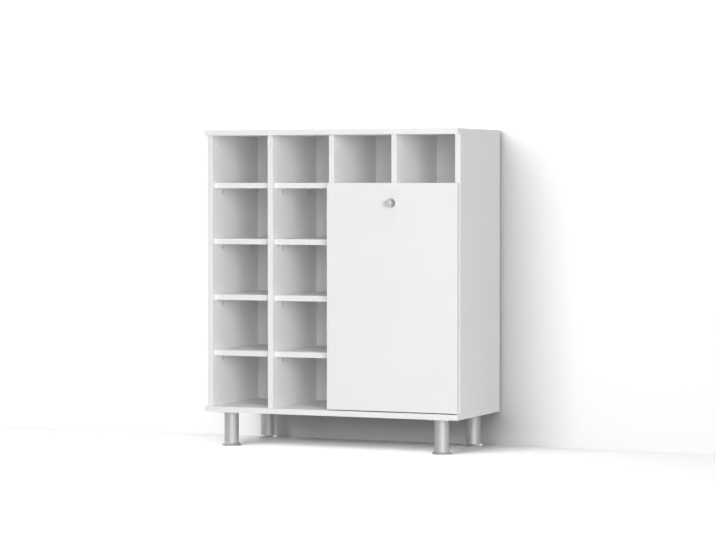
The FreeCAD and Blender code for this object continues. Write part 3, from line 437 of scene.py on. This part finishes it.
def screw_tree():
    """One screw with its head up, set on every seat, along the seat's facing, at a random spin."""
    tree = bpy.data.node_groups.new("cross-head screws", "GeometryNodeTree")
    sizes = ("Head radius", "Head height", "Shank radius", "Shank length", "Tip length", "Thread pitch")
    tree.interface.new_socket("Seats", in_out="INPUT", socket_type="NodeSocketGeometry")
    for label in sizes:
        tree.interface.new_socket(label, in_out="INPUT", socket_type="NodeSocketFloat")
    tree.interface.new_socket("Spin seed", in_out="INPUT", socket_type="NodeSocketInt")
    tree.interface.new_socket("Finish", in_out="INPUT", socket_type="NodeSocketMaterial")
    tree.interface.new_socket("Screws", in_out="OUTPUT", socket_type="NodeSocketGeometry")
    given = add_node(tree, "NodeGroupInput").outputs
    lengths = [given[label] for label in sizes]
    head_radius, head_height, shank_radius, shank_length, tip_length, pitch = lengths

    ball = add_node(tree, "GeometryNodeMeshUVSphere", {"Segments": 20, "Rings": 12, "Radius": head_radius})
    position = add_node(tree, "GeometryNodeInputPosition").outputs[0]
    spot = add_node(tree, "ShaderNodeSeparateXYZ", {0: position}).outputs
    above_seat = sum_of(tree, "MAXIMUM", spot[2], 0.0)
    rise = sum_of(tree, "POWER", sum_of(tree, "DIVIDE", above_seat, head_radius), dome_power)
    domed = {"X": spot[0], "Y": spot[1], "Z": sum_of(tree, "MULTIPLY", rise, head_height)}
    dome_spot = add_node(tree, "ShaderNodeCombineXYZ", domed).outputs[0]
    shaped = {"Geometry": ball.outputs["Mesh"], "Position": dome_spot}
    dome = add_node(tree, "GeometryNodeSetPosition", shaped).outputs[0]
    slot_sides = {
        "X": sum_of(tree, "MULTIPLY", head_radius, recess_length),
        "Y": sum_of(tree, "MULTIPLY", head_radius, recess_width),
        "Z": sum_of(tree, "MULTIPLY", head_height, recess_depth),
    }
    slot_size = add_node(tree, "ShaderNodeCombineXYZ", slot_sides).outputs[0]
    slot = add_node(tree, "GeometryNodeMeshCube", {"Size": slot_size}).outputs["Mesh"]
    lift = add_node(tree, "ShaderNodeCombineXYZ", {"Z": head_height}).outputs[0]
    recess = add_node(tree, "GeometryNodeMeshBoolean", {"Mesh 1": dome}, operation="DIFFERENCE")
    for angle in (0.0, math.pi / 2):
        turn = {"Geometry": slot, "Translation": lift, "Rotation": (0.0, 0.0, angle)}
        way = add_node(tree, "GeometryNodeTransform", turn).outputs[0]
        tree.links.new(way, recess.inputs["Mesh 2"])

    thread_depth = sum_of(tree, "MULTIPLY", shank_radius, ridge_share)
    core_radius = sum_of(tree, "SUBTRACT", shank_radius, thread_depth)
    rod = {"Vertices": 10, "Side Segments": 8, "Radius": core_radius, "Depth": shank_length}
    core = add_node(tree, "GeometryNodeMeshCylinder", rod).outputs["Mesh"]
    core = lifted(tree, core, sum_of(tree, "MULTIPLY", shank_length, -0.5))
    thread_length = sum_of(tree, "MULTIPLY", shank_length, threaded_share)
    coil = {
        "Resolution": 9,
        "Rotations": sum_of(tree, "DIVIDE", thread_length, pitch),
        "Start Radius": core_radius,
        "End Radius": core_radius,
        "Height": thread_length,
    }
    helix = add_node(tree, "GeometryNodeCurveSpiral", coil).outputs[0]
    ridge_size = {"Resolution": 3, "Radius": thread_depth}
    ridge = add_node(tree, "GeometryNodeCurvePrimitiveCircle", ridge_size).outputs[0]
    swept = {"Curve": helix, "Profile Curve": ridge, "Fill Caps": True}
    thread = add_node(tree, "GeometryNodeCurveToMesh", swept).outputs[0]
    thread = lifted(tree, thread, sum_of(tree, "MULTIPLY", shank_length, thread_foot))
    above_tip = sum_of(tree, "DIVIDE", sum_of(tree, "ADD", spot[2], shank_length), tip_length)
    narrowing = sum_of(tree, "MINIMUM", sum_of(tree, "MAXIMUM", above_tip, tip_share), 1.0)
    narrowed = {
        "X": sum_of(tree, "MULTIPLY", spot[0], narrowing),
        "Y": sum_of(tree, "MULTIPLY", spot[1], narrowing),
        "Z": spot[2],
    }
    tip_spot = add_node(tree, "ShaderNodeCombineXYZ", narrowed).outputs[0]
    shank = {"Geometry": joined(tree, core, thread), "Position": tip_spot}
    pointed = add_node(tree, "GeometryNodeSetPosition", shank).outputs[0]
    smooth = smoothed(tree, joined(tree, recess.outputs["Mesh"], pointed))
    crease = add_node(tree, "GeometryNodeInputMeshEdgeAngle").outputs["Unsigned Angle"]
    sharp = sum_of(tree, "GREATER_THAN", crease, crease_angle)
    corners = {"Geometry": smooth, "Selection": sharp, "Shade Smooth": False}
    cornered = add_node(tree, "GeometryNodeSetShadeSmooth", corners, domain="EDGE").outputs[0]

    named = {"Name": "facing"}
    facing = add_node(tree, "GeometryNodeInputNamedAttribute", named, data_type="FLOAT_VECTOR").outputs[0]
    upright = add_node(tree, "FunctionNodeAlignRotationToVector", {"Vector": facing}, axis="Z").outputs[0]
    spin = add_node(tree, "FunctionNodeRandomValue", {"Seed": given["Spin seed"]}, data_type="FLOAT")
    spin.inputs[2].default_value = 0.0
    spin.inputs[3].default_value = 2.0 * math.pi
    spin_turn = add_node(tree, "ShaderNodeCombineXYZ", {"Z": spin.outputs[1]}).outputs[0]
    turned = add_node(tree, "FunctionNodeEulerToRotation", {0: spin_turn}).outputs[0]
    turns = {0: upright, 1: turned}
    spun = add_node(tree, "FunctionNodeRotateRotation", turns, rotation_space="LOCAL").outputs[0]
    seated = {"Points": given["Seats"], "Instance": cornered, "Rotation": spun}
    driven = add_node(tree, "GeometryNodeInstanceOnPoints", seated).outputs[0]
    put_out(tree, driven, given["Finish"])
    return tree


def placed(name, data):
    """A new object of the scene."""
    piece = bpy.data.objects.new(name, data)
    scene.collection.objects.link(piece)
    return piece


def grown(name, seed, tree, settings):
    """Runs a node tree on a seed mesh and keeps what it makes as the plain mesh of a new object."""
    piece = placed(name, seed)
    growth = piece.modifiers.new("growth", "NODES")
    growth.node_group = tree
    for entry in tree.interface.items_tree:
        if entry.in_out == "INPUT" and entry.name in settings:
            growth[entry.identifier] = settings[entry.name]
    made = bpy.data.meshes.new_from_object(piece.evaluated_get(bpy.context.evaluated_depsgraph_get()))
    piece.modifiers.remove(growth)
    piece.data = made
    made.name = name
    return piece


def screw_seats(nodes, head_height):
    """The seats of the plain screws in some pieces: a point under each head, and the way the head faces."""
    seats = []
    for node in nodes:
        solids = bmesh.new()
        solids.from_mesh(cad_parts[node].data)
        bmesh.ops.remove_doubles(solids, verts=solids.verts[:], dist=1e-6)
        left = set(solids.verts)
        for first in solids.verts:
            if first not in left:
                continue
            left.discard(first)
            island = [first]
            for vert in island:
                for edge in vert.link_edges:
                    other = edge.other_vert(vert)
                    if other in left:
                        left.discard(other)
                        island.append(other)
            lows = Vector([min(vert.co[axis] for vert in island) for axis in range(3)])
            highs = Vector([max(vert.co[axis] for vert in island) for axis in range(3)])
            sides = highs - lows
            along = max(range(3), key=lambda axis: sides[axis])
            middle = (lows + highs) / 2
            across = [axis for axis in range(3) if axis != along]
            widths = [sum((vert.co[axis] - middle[axis]) ** 2 for axis in across) for vert in island]
            wide = island[widths.index(max(widths))]
            facing = Vector((0.0, 0.0, 0.0))
            facing[along] = 1.0 if wide.co[along] > middle[along] else -1.0
            seat = middle + facing * (sides[along] / 2 - head_height)
            seats.append((seat, facing, sides[along] - head_height))
        solids.free()
    return seats


def driven_screws(name, body, nodes, head_radius, head_height, shank_radius, tip_length, pitch, seed):
    """Screws in the places of the plain ones, as one piece that moves with a body."""
    seats = screw_seats(nodes, head_height)
    seed_mesh = bpy.data.meshes.new(name)
    seed_mesh.from_pydata([seat for seat, facing, length in seats], [], [])
    attribute = seed_mesh.attributes.new("facing", "FLOAT_VECTOR", "POINT")
    for entry, (seat, facing, length) in zip(attribute.data, seats):
        entry.vector = facing
    settings = {
        "Head radius": head_radius,
        "Head height": head_height,
        "Shank radius": shank_radius,
        "Shank length": min(length for seat, facing, length in seats),
        "Tip length": tip_length,
        "Thread pitch": pitch,
        "Spin seed": seed,
        "Finish": zinc,
    }
    piece = grown(name, seed_mesh, cross_head_screws, settings)
    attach(piece, body)
    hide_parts(*nodes)


cross_head_screws = screw_tree()
pan_head = dict(
    head_radius=0.0036, head_height=0.0022, shank_radius=0.00175, tip_length=0.0025, pitch=0.0016
)
driven_screws("leg_plate_screws", "carcass", ["leg_screws"], seed=3, **pan_head)
driven_screws("back_panel_screws", "carcass", ["back_screws"], seed=5, **pan_head)
driven_screws("hinge_and_guide_screws", "carcass", ["fitting_screws"], seed=7, **pan_head)
driven_screws("flap_fitting_screws", "flap", ["flap_screws"], seed=11, **pan_head)
machine_head = dict(
    head_radius=0.0045, head_height=0.0026, shank_radius=0.002, tip_length=0.001, pitch=0.0007
)
driven_screws("knob_machine_screw", "flap", ["knob_screw"], seed=13, **machine_head)


# Bag frame: one length of steel wire bent to a loop with two hooks, powder coated white. The hooks drop into
# the sockets on the back of the flap, so the frame lifts out with the bag.

coat_white = (0.84, 0.84, 0.84, 1.0)
coat_peel = (0.81, 0.81, 0.808, 1.0)
coat, tree, shader, place = new_finish("white powder coat", coat_white, 0.36)
peel = cloudy(tree, place["Object"], 750.0)
tree.links.new(two_tone(tree, peel, coat_white, coat_peel), shader.inputs["Base Color"])
tree.links.new(sum_of(tree, "MULTIPLY_ADD", peel, 0.1, 0.31), shader.inputs["Roughness"])
raised(tree, shader, peel, 0.00003, 0.7)
dress(coat, "bag_frame")


# Laundry bag: natural cotton canvas, one wrap and a sewn-in bottom. Its hem is folded over the frame's wire
# and stitched, with an opening at each hook, and the walls hang slack from it.

canvas_pale = (0.80, 0.78, 0.73, 1.0)
canvas_slub = (0.70, 0.67, 0.60, 1.0)
thread_pitch = 0.0011
cloth_thickness = 0.0009
wire_radius = 0.003
sleeve_radius = 0.0042
loop_depth = 0.225
loop_corner = 0.030
hook_inset = 0.0605
slit_half = 0.009
bag_floor = 0.200
bag_taper = 0.015
floor_corner = 0.045
floor_edge_radius = 0.012
columns_across = 38
columns_along = 26
wall_rows = 46
# The hem's profile on both sides of the wire, each spot outward from the wire and up from it
turned_edge = ((0.0012, -0.016), (0.0012, -0.0125), (0.0022, -0.008), (0.0036, -0.004))
inner_fold = ((-0.0036, -0.004), (-0.0020, -0.008), (-0.0008, -0.0125), (-0.0006, -0.018))
sleeve_steps = 9
sleeve_start = -15.0
sleeve_step = 26.25
wall_outward = -0.0006
wall_drop = 0.026
slit_start = 2
slit_margin = 4
settle_frames = 30
cloth_slack = 0.02
furthest_move = 0.009
loop_low, loop_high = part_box("bag_frame")
loop_left = loop_low.x + wire_radius
loop_right = loop_high.x - wire_radius
loop_rear = loop_high.y - wire_radius
loop_z = loop_high.z - wire_radius
loop_middle = Vector(((loop_left + loop_right) / 2, loop_rear - loop_depth / 2))
hook_places = (loop_left + hook_inset, loop_right - hook_inset)


def side_point(length, corner, share):
    """A spot on one side of a rounded rectangle, between its mid-corners: along, outward, and its turn."""
    arc = corner * math.pi / 4
    straight = length - 2 * corner
    run = share * (straight + 2 * arc)
    if run < arc:
        turn = run / corner - math.pi / 4
        return -straight / 2 + corner * math.sin(turn), corner * (math.cos(turn) - 1.0), turn
    if run > arc + straight:
        turn = (run - arc - straight) / corner
        return straight / 2 + corner * math.sin(turn), corner * (math.cos(turn) - 1.0), turn
    return run - arc - straight / 2, 0.0, 0.0


def bag_ring(inset, corner, height, outward):
    """Spots round the bag at a height, drawn in from the wire's line, then moved outward by a distance."""
    wide = loop_right - loop_left - 2 * inset
    deep = loop_depth - 2 * inset
    lengthways = (wide, deep / 2, columns_across)
    crossways = (deep, wide / 2, columns_along)
    spots = []
    for side, (length, reach, count) in enumerate((lengthways, crossways, lengthways, crossways)):
        forward = Vector((math.cos(side * math.pi / 2), math.sin(side * math.pi / 2)))
        outside = Vector((forward.y, -forward.x))
        for column in range(count):
            along, out, turn = side_point(length, corner, column / count)
            along += outward * math.sin(turn)
            out += outward * math.cos(turn) + reach
            spot = loop_middle + forward * along + outside * out
            spots.append(Vector((spot.x, spot.y, height)))
    return spots


def bag_rings():
    """Rings of the bag from the hem's cut edge, over the wire, and down the wall to the bottom's edge."""
    hem = list(turned_edge)
    for step in range(sleeve_steps):
        angle = math.radians(sleeve_start + step * sleeve_step)
        hem.append((sleeve_radius * math.cos(angle), sleeve_radius * math.sin(angle)))
    hem.extend(inner_fold)
    rings = [bag_ring(0.0, loop_corner, loop_z + rise, outward) for outward, rise in hem]
    first_z = loop_z - wall_drop
    last_z = bag_floor + floor_edge_radius
    for row in range(wall_rows):
        height = first_z + (last_z - first_z) * row / (wall_rows - 1)
        fall = (loop_z - height) / (loop_z - bag_floor)
        corner = loop_corner + (floor_corner - loop_corner) * fall
        rings.append(bag_ring(bag_taper * fall, corner, height, wall_outward))
    for step in (1, 2, 3):
        angle = step * math.pi / 6
        inset = bag_taper + floor_edge_radius * (1.0 - math.cos(angle))
        height = last_z - floor_edge_radius * math.sin(angle)
        rings.append(bag_ring(inset, floor_corner, height, wall_outward))
    return rings, len(hem)


def bag_shell(rings, hem_count):
    """The bag's mesh: rings joined in strips, open at the hooks, and a bottom filled in from its edge."""
    spots = [spot for ring in rings for spot in ring]
    count = len(rings[0])
    lengths = [0.0]
    for column in range(count):
        step = rings[hem_count][(column + 1) % count] - rings[hem_count][column]
        lengths.append(lengths[-1] + step.length)
    falls = [0.0]
    for upper, lower in zip(rings, rings[1:]):
        falls.append(falls[-1] + (lower[columns_across // 2] - upper[columns_across // 2]).length)
    faces = []
    weave = []
    for row in range(len(rings) - 1):
        for column in range(count):
            other = (column + 1) % count
            middle = (rings[row][column] + rings[row][other]) / 2
            at_front = column < columns_across
            at_hook = at_front and min(abs(middle.x - place) for place in hook_places) < slit_half
            if at_hook and slit_start <= row < hem_count - slit_margin:
                continue
            here = row * count
            below = here + count
            faces.append((here + column, below + column, below + other, here + other))
            weave.append(
                [
                    (lengths[column], -falls[row]),
                    (lengths[column], -falls[row + 1]),
                    (lengths[column + 1], -falls[row + 1]),
                    (lengths[column + 1], -falls[row]),
                ]
            )
    edge_start = (len(rings) - 1) * count
    grid = {}
    for i in range(columns_across + 1):
        grid[i, 0] = edge_start + i
        grid[i, columns_along] = edge_start + 2 * columns_across + columns_along - i
    for j in range(columns_along + 1):
        grid[columns_across, j] = edge_start + columns_across + j
        grid[0, j] = edge_start + (count - j) % count
    for i in range(1, columns_across):
        for j in range(1, columns_along):
            right_share = i / columns_across
            rear_share = j / columns_along
            left_share = 1 - right_share
            front_share = 1 - rear_share
            front, rear = spots[grid[i, 0]], spots[grid[i, columns_along]]
            left, right = spots[grid[0, j]], spots[grid[columns_across, j]]
            corners = (
                spots[grid[0, 0]] * left_share * front_share
                + spots[grid[columns_across, 0]] * right_share * front_share
                + spots[grid[0, columns_along]] * left_share * rear_share
                + spots[grid[columns_across, columns_along]] * right_share * rear_share
            )
            grid[i, j] = len(spots)
            sides = front * front_share + rear * rear_share + left * left_share + right * right_share
            spots.append(sides - corners)
    for i in range(columns_across):
        for j in range(columns_along):
            corners = [grid[i, j], grid[i, j + 1], grid[i + 1, j + 1], grid[i + 1, j]]
            faces.append(corners)
            weave.append([(spots[corner].x, spots[corner].y) for corner in corners])
    mesh = bpy.data.meshes.new("laundry_bag_cloth")
    mesh.from_pydata(spots, [], faces)
    uv = mesh.uv_layers.new(name="weave")
    for entry, place in zip(uv.data, [pair for corners in weave for pair in corners]):
        entry.uv = place
    mesh.polygons.foreach_set("use_smooth", [True] * len(mesh.polygons))
    return mesh


def hang(piece, held, frames, slack, furthest):
    """Lets a cloth settle under its weight from the spots that are held, and caps how far a spot moves."""
    start = [vert.co.copy() for vert in piece.data.vertices]
    group = piece.vertex_groups.new(name="held")
    group.add(held, 1.0, "REPLACE")
    cloth = piece.modifiers.new("hanging", "CLOTH")
    cloth.settings.quality = 6
    cloth.settings.mass = 0.15
    cloth.settings.tension_stiffness = 25.0
    cloth.settings.compression_stiffness = 25.0
    cloth.settings.shear_stiffness = 12.0
    cloth.settings.bending_stiffness = 0.6
    cloth.settings.vertex_group_mass = "held"
    cloth.settings.shrink_min = -slack
    cloth.collision_settings.use_collision = False
    cloth.point_cache.frame_start = 1
    cloth.point_cache.frame_end = frames
    for moment in range(1, frames + 1):
        scene.frame_set(moment)
    hung = piece.evaluated_get(bpy.context.evaluated_depsgraph_get())
    ends = [vert.co.copy() for vert in hung.to_mesh().vertices]
    hung.to_mesh_clear()
    piece.modifiers.remove(cloth)
    piece.vertex_groups.clear()
    for vert, before, after in zip(piece.data.vertices, start, ends):
        move = after - before
        if move.length > 0.0:
            vert.co = before + move * (furthest * math.tanh(move.length / furthest) / move.length)
    scene.frame_set(1)


def canvas_finish():
    """Plain-woven cotton on the piece's own weave map: crossing threads, slubs, painted shade between the
    threads and a soft fuzz.
    """
    material, tree, shader, place = new_finish("natural canvas", canvas_pale, 0.9)
    warp = banding(tree, place["UV"], "X", thread_pitch)
    weft = banding(tree, place["UV"], "Y", thread_pitch)
    uneven = cloudy(tree, place["UV"], (36.0, 520.0, 1.0), 4.0)
    slubs = cloudy(tree, place["UV"], (520.0, 36.0, 1.0), 4.0)
    threads = sum_of(tree, "MAXIMUM", warp, weft)
    mottle = sum_of(tree, "MULTIPLY", sum_of(tree, "ADD", uneven, slubs), 0.5)
    # The colour darkens where the threads dip. This is painted shade in the hollows of the weave, scaled by
    # the real mottle of the slubs.
    shade = sum_of(tree, "MULTIPLY", sum_of(tree, "SUBTRACT", 1.25, threads), mottle)
    tree.links.new(two_tone(tree, shade, canvas_pale, canvas_slub), shader.inputs["Base Color"])
    shader.inputs["Sheen Weight"].default_value = 0.15
    raised(tree, shader, sum_of(tree, "MULTIPLY", threads, mottle), 0.00025, 0.8)
    return material


def soften(piece, thickness):
    """Rounds a cloth between its spots and gives it a thickness."""
    smoothing = piece.modifiers.new("soft", "SUBSURF")
    smoothing.levels = 1
    smoothing.render_levels = 1
    layer = piece.modifiers.new("cloth", "SOLIDIFY")
    layer.thickness = thickness
    layer.offset = 0.0


canvas = canvas_finish()
rings, hem_count = bag_rings()
ring_count = len(rings[0])
bag = placed("laundry_bag_cloth", bag_shell(rings, hem_count))
held_spots = list(range((hem_count + 1) * ring_count))
hang(bag, held_spots, settle_frames, cloth_slack, furthest_move)
bag.data.materials.append(canvas)
bag_spots = [vert.co.copy() for vert in bag.data.vertices]
bag_outward = [vert.normal.copy() for vert in bag.data.vertices]
soften(bag, cloth_thickness)
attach(bag, "flap")
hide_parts("laundry_bag")


# Bag seams and stitches: a doubled strip inside the rear of the bag where the wrap is joined, and white
# cotton stitches along that seam, round the hem and round the bottom.

cotton_white = (0.86, 0.85, 0.82, 1.0)
cotton_twist = (0.74, 0.73, 0.69, 1.0)
seam_column = columns_across + columns_along + columns_across // 2
seam_inset = cloth_thickness * 1.15
seam_thickness = cloth_thickness * 0.8
seam_aside = 0.6
stitch_lift = cloth_thickness * 0.45
stitch_drop = 0.0135


def seam_strip():
    """The doubled cloth of the wrap's join, laid inside the rear wall."""
    spots = []
    faces = []
    top_row = hem_count - 1
    bottom_row = hem_count + wall_rows
    for row in range(top_row, bottom_row):
        for column in (seam_column - 1, seam_column, seam_column + 1):
            index = row * ring_count + column
            spots.append(bag_spots[index] - bag_outward[index] * seam_inset)
    for row in range(bottom_row - top_row - 1):
        for column in range(2):
            first = row * 3 + column
            faces.append((first, first + 3, first + 4, first + 1))
    mesh = bpy.data.meshes.new("laundry_bag_seam")
    mesh.from_pydata(spots, [], faces)
    uv = mesh.uv_layers.new(name="weave")
    for corner, entry in zip(mesh.loops, uv.data):
        spot = spots[corner.vertex_index]
        entry.uv = (spot.x, spot.z)
    mesh.polygons.foreach_set("use_smooth", [True] * len(mesh.polygons))
    mesh.materials.append(canvas)
    strip = placed("laundry_bag_seam", mesh)
    soften(strip, seam_thickness)
    return strip


def stitch_tree():
    """Short rounded stitches, one for each pitch along the edges of a path."""
    tree = bpy.data.node_groups.new("running stitches", "GeometryNodeTree")
    tree.interface.new_socket("Path", in_out="INPUT", socket_type="NodeSocketGeometry")
    for label in ("Pitch", "Stitch length", "Thread radius"):
        tree.interface.new_socket(label, in_out="INPUT", socket_type="NodeSocketFloat")
    tree.interface.new_socket("Finish", in_out="INPUT", socket_type="NodeSocketMaterial")
    tree.interface.new_socket("Stitches", in_out="OUTPUT", socket_type="NodeSocketGeometry")
    given = add_node(tree, "NodeGroupInput").outputs
    line = add_node(tree, "GeometryNodeMeshToCurve", {0: given["Path"]}).outputs[0]
    steps = {"Curve": line, "Length": given["Pitch"]}
    spaced = add_node(tree, "GeometryNodeCurveToPoints", steps, mode="LENGTH").outputs
    ball = {"Segments": 6, "Rings": 4, "Radius": 1.0}
    bead = add_node(tree, "GeometryNodeMeshUVSphere", ball).outputs["Mesh"]
    sides = {
        "X": sum_of(tree, "MULTIPLY", given["Stitch length"], 0.5),
        "Y": given["Thread radius"],
        "Z": given["Thread radius"],
    }
    size = add_node(tree, "ShaderNodeCombineXYZ", sides).outputs[0]
    drawn = add_node(tree, "GeometryNodeTransform", {"Geometry": bead, "Scale": size}).outputs[0]
    facing = {"Vector": spaced["Tangent"]}
    along = add_node(tree, "FunctionNodeAlignRotationToVector", facing, axis="X").outputs[0]
    laid = {"Points": spaced["Points"], "Instance": smoothed(tree, drawn), "Rotation": along}
    sewn = add_node(tree, "GeometryNodeInstanceOnPoints", laid).outputs[0]
    put_out(tree, sewn, given["Finish"])
    return tree


def stitch_lines():
    """The paths of the stitches: round the hem, round the bottom, and down both edges of the rear seam."""
    spots = []
    edges = []

    def follow(line, closed):
        first = len(spots)
        spots.extend(line)
        edges.extend((first + k, first + k + 1) for k in range(len(line) - 1))
        if closed:
            edges.append((first + len(line) - 1, first))

    outer_face = turned_edge[1][0] + stitch_lift
    inner_face = inner_fold[2][0] - stitch_lift
    for outward in (outer_face, inner_face):
        follow(bag_ring(0.0, loop_corner, loop_z - stitch_drop, outward), True)
    bottom = (hem_count + wall_rows) * ring_count
    follow(bag_spots[bottom:bottom + ring_count], True)
    for way in (-1, 1):
        line = []
        for row in range(hem_count, hem_count + wall_rows):
            index = row * ring_count + seam_column
            beside = bag_spots[index].lerp(bag_spots[index + way], seam_aside)
            line.append(beside - bag_outward[index] * cloth_thickness)
        follow(line, False)
    mesh = bpy.data.meshes.new("laundry_bag_stitches")
    mesh.from_pydata(spots, edges, [])
    return mesh


cotton = mottled("cotton thread", cotton_white, cotton_twist, 0.8, 2400.0, 2.0, 0.00006, 0.7)
stitch_sizes = {"Pitch": 0.0036, "Stitch length": 0.0027, "Thread radius": 0.0007, "Finish": cotton}
seam = seam_strip()
stitches = grown("laundry_bag_stitches", stitch_lines(), stitch_tree(), stitch_sizes)
for piece in (seam, stitches):
    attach(piece, "flap")


# Stage: a pale floor and a wall close behind the cabinet, which the camera sees only from their fronts and
# which keep its shadow. The floor runs on behind the wall, and both fade out far from the cabinet.

room_half = 5.0
fade_start = 2.6
fade_end = 4.6
wall_gap = 0.010
floor_white = (1.0, 1.0, 1.0, 1.0)
wall_white = (0.66, 0.66, 0.66, 1.0)
stage_bounce = (0.5, 0.5, 0.5, 1.0)


def stage_sheet(name, white, corners, stops_light):
    """A plain pale sheet of the stage, which the camera sees from its front."""
    mesh = bpy.data.meshes.new(name)
    mesh.from_pydata(corners, [], [tuple(range(len(corners)))])
    sheet = placed(name, mesh)
    material = bpy.data.materials.new(name)
    material.use_nodes = True
    tree = material.node_tree
    tree.nodes.remove(tree.nodes["Principled BSDF"])
    ray = add_node(tree, "ShaderNodeLightPath").outputs
    camera_ray = ray["Is Camera Ray"]
    mirrored = sum_of(tree, "MAXIMUM", ray["Is Glossy Ray"], ray["Is Transmission Ray"])
    behind = add_node(tree, "ShaderNodeNewGeometry").outputs["Backfacing"]
    tone = two_tone(tree, sum_of(tree, "MAXIMUM", camera_ray, mirrored), stage_bounce, white)
    if stops_light:
        clear = sum_of(tree, "MULTIPLY", camera_ray, behind)
    else:
        seen = sum_of(tree, "MULTIPLY", camera_ray, sum_of(tree, "SUBTRACT", 1.0, behind))
        clear = sum_of(tree, "SUBTRACT", 1.0, seen)
    spot = add_node(tree, "ShaderNodeTexCoord").outputs["Object"]
    away = add_node(tree, "ShaderNodeVectorMath", {0: spot}, operation="LENGTH").outputs["Value"]
    fade = add_node(tree, "ShaderNodeMapRange", {0: away, 1: fade_start, 2: fade_end}).outputs[0]
    clear = sum_of(tree, "MAXIMUM", clear, sum_of(tree, "MULTIPLY", fade, camera_ray))
    plain = add_node(tree, "ShaderNodeBsdfDiffuse", {"Color": tone}).outputs[0]
    nothing = add_node(tree, "ShaderNodeBsdfTransparent").outputs[0]
    mix = add_node(tree, "ShaderNodeMixShader", {0: clear, 1: plain, 2: nothing}).outputs[0]
    tree.links.new(mix, tree.nodes["Material Output"].inputs["Surface"])
    mesh.materials.append(material)
    return sheet


wall_y = cad_high.y + wall_gap
near_y = wall_y - room_half
far_y = wall_y + room_half
floor_corners = [
    (-room_half, near_y, 0.0),
    (room_half, near_y, 0.0),
    (room_half, far_y, 0.0),
    (-room_half, far_y, 0.0),
]
wall_corners = [
    (-room_half, wall_y, 0.0),
    (room_half, wall_y, 0.0),
    (room_half, wall_y, room_half),
    (-room_half, wall_y, room_half),
]
floor = stage_sheet("floor", floor_white, floor_corners, True)
wall = stage_sheet("wall", wall_white, wall_corners, False)


# Light: large soft boxes. One set shines on the stage only and one on the object only, so that the pale stage
# goes white while the white boards keep their tone.

ambient = 0.02
lamp_aim = Vector((0.0, 0.0, 0.45))
world = bpy.data.worlds.new("studio")
world.use_nodes = True
scene.world = world
tree = world.node_tree
ray = add_node(tree, "ShaderNodeLightPath").outputs
mirrored = sum_of(tree, "MAXIMUM", ray["Is Glossy Ray"], ray["Is Transmission Ray"])
seen_directly = sum_of(tree, "MAXIMUM", ray["Is Camera Ray"], mirrored)
strength = add_node(tree, "ShaderNodeMix", {0: seen_directly, 2: ambient, 3: 1.0}).outputs[0]
tree.links.new(strength, tree.nodes["Background"].inputs["Strength"])
tree.nodes["Background"].inputs["Color"].default_value = (1.0, 1.0, 1.0, 1.0)
on_stage = bpy.data.collections.new("the stage")
off_stage = bpy.data.collections.new("all but the stage")
for sheet in (floor, wall):
    on_stage.objects.link(sheet)
    off_stage.objects.link(sheet)
for entry in off_stage.collection_objects:
    entry.light_linking.link_state = "EXCLUDE"


def add_lamp(name, azimuth, elevation, reach, width, height, power, shines_on):
    """A soft box turned to the cabinet, from an angle right of its front and above the floor."""
    side = math.radians(azimuth)
    rise = math.radians(elevation)
    away = Vector((math.sin(side) * math.cos(rise), -math.cos(side) * math.cos(rise), math.sin(rise)))
    light = bpy.data.lights.new(name, "AREA")
    light.shape = "RECTANGLE"
    light.size = width
    light.size_y = height
    light.energy = power
    lamp = placed(name, light)
    lamp.location = lamp_aim + away * reach
    lamp.rotation_euler = (-away).to_track_quat("-Z", "Y").to_euler()
    lamp.light_linking.receiver_collection = shines_on


add_lamp("stage key", -12.0, 30.0, 8.0, 4.4, 4.4, 460.0, on_stage)
add_lamp("stage left key", -44.0, 26.0, 8.0, 4.6, 4.0, 185.0, on_stage)
add_lamp("stage right fill", 30.0, 25.0, 8.0, 5.0, 4.0, 200.0, on_stage)
add_lamp("stage low fill", -15.0, 10.0, 8.0, 5.0, 2.0, 275.0, on_stage)
add_lamp("stage overhead", 0.0, 75.0, 8.0, 5.3, 5.3, 220.0, on_stage)
add_lamp("key", 31.0, 11.0, 8.0, 5.0, 4.1, 336.0, off_stage)
add_lamp("low key", 37.0, 4.0, 8.0, 5.3, 2.0, 92.0, off_stage)
add_lamp("high key", 15.0, 66.0, 8.0, 5.0, 3.0, 138.0, off_stage)
add_lamp("right fill", 75.0, 10.0, 8.0, 4.0, 3.0, 50.0, off_stage)
add_lamp("left fill", -95.0, 22.0, 4.5, 2.4, 2.4, 75.0, off_stage)
add_lamp("rear fill", 175.0, 26.0, 4.5, 2.4, 2.4, 75.0, off_stage)
add_lamp("overhead", 180.0, 74.0, 4.5, 2.4, 1.6, 45.0, off_stage)


# Camera: where the photograph was taken from, a little below the top and to the right of the cabinet.

camera_dip = 1.832
camera_turn = 23.272
eye = bpy.data.cameras.new("camera")
eye.sensor_width = 36.0
eye.lens = 137.56
eye.clip_end = 60.0
camera = placed("camera", eye)
camera.location = (3.1628, -7.2993, 0.7679)
camera.rotation_euler = (math.radians(90.0 - camera_dip), 0.0, math.radians(camera_turn))
scene.camera = camera
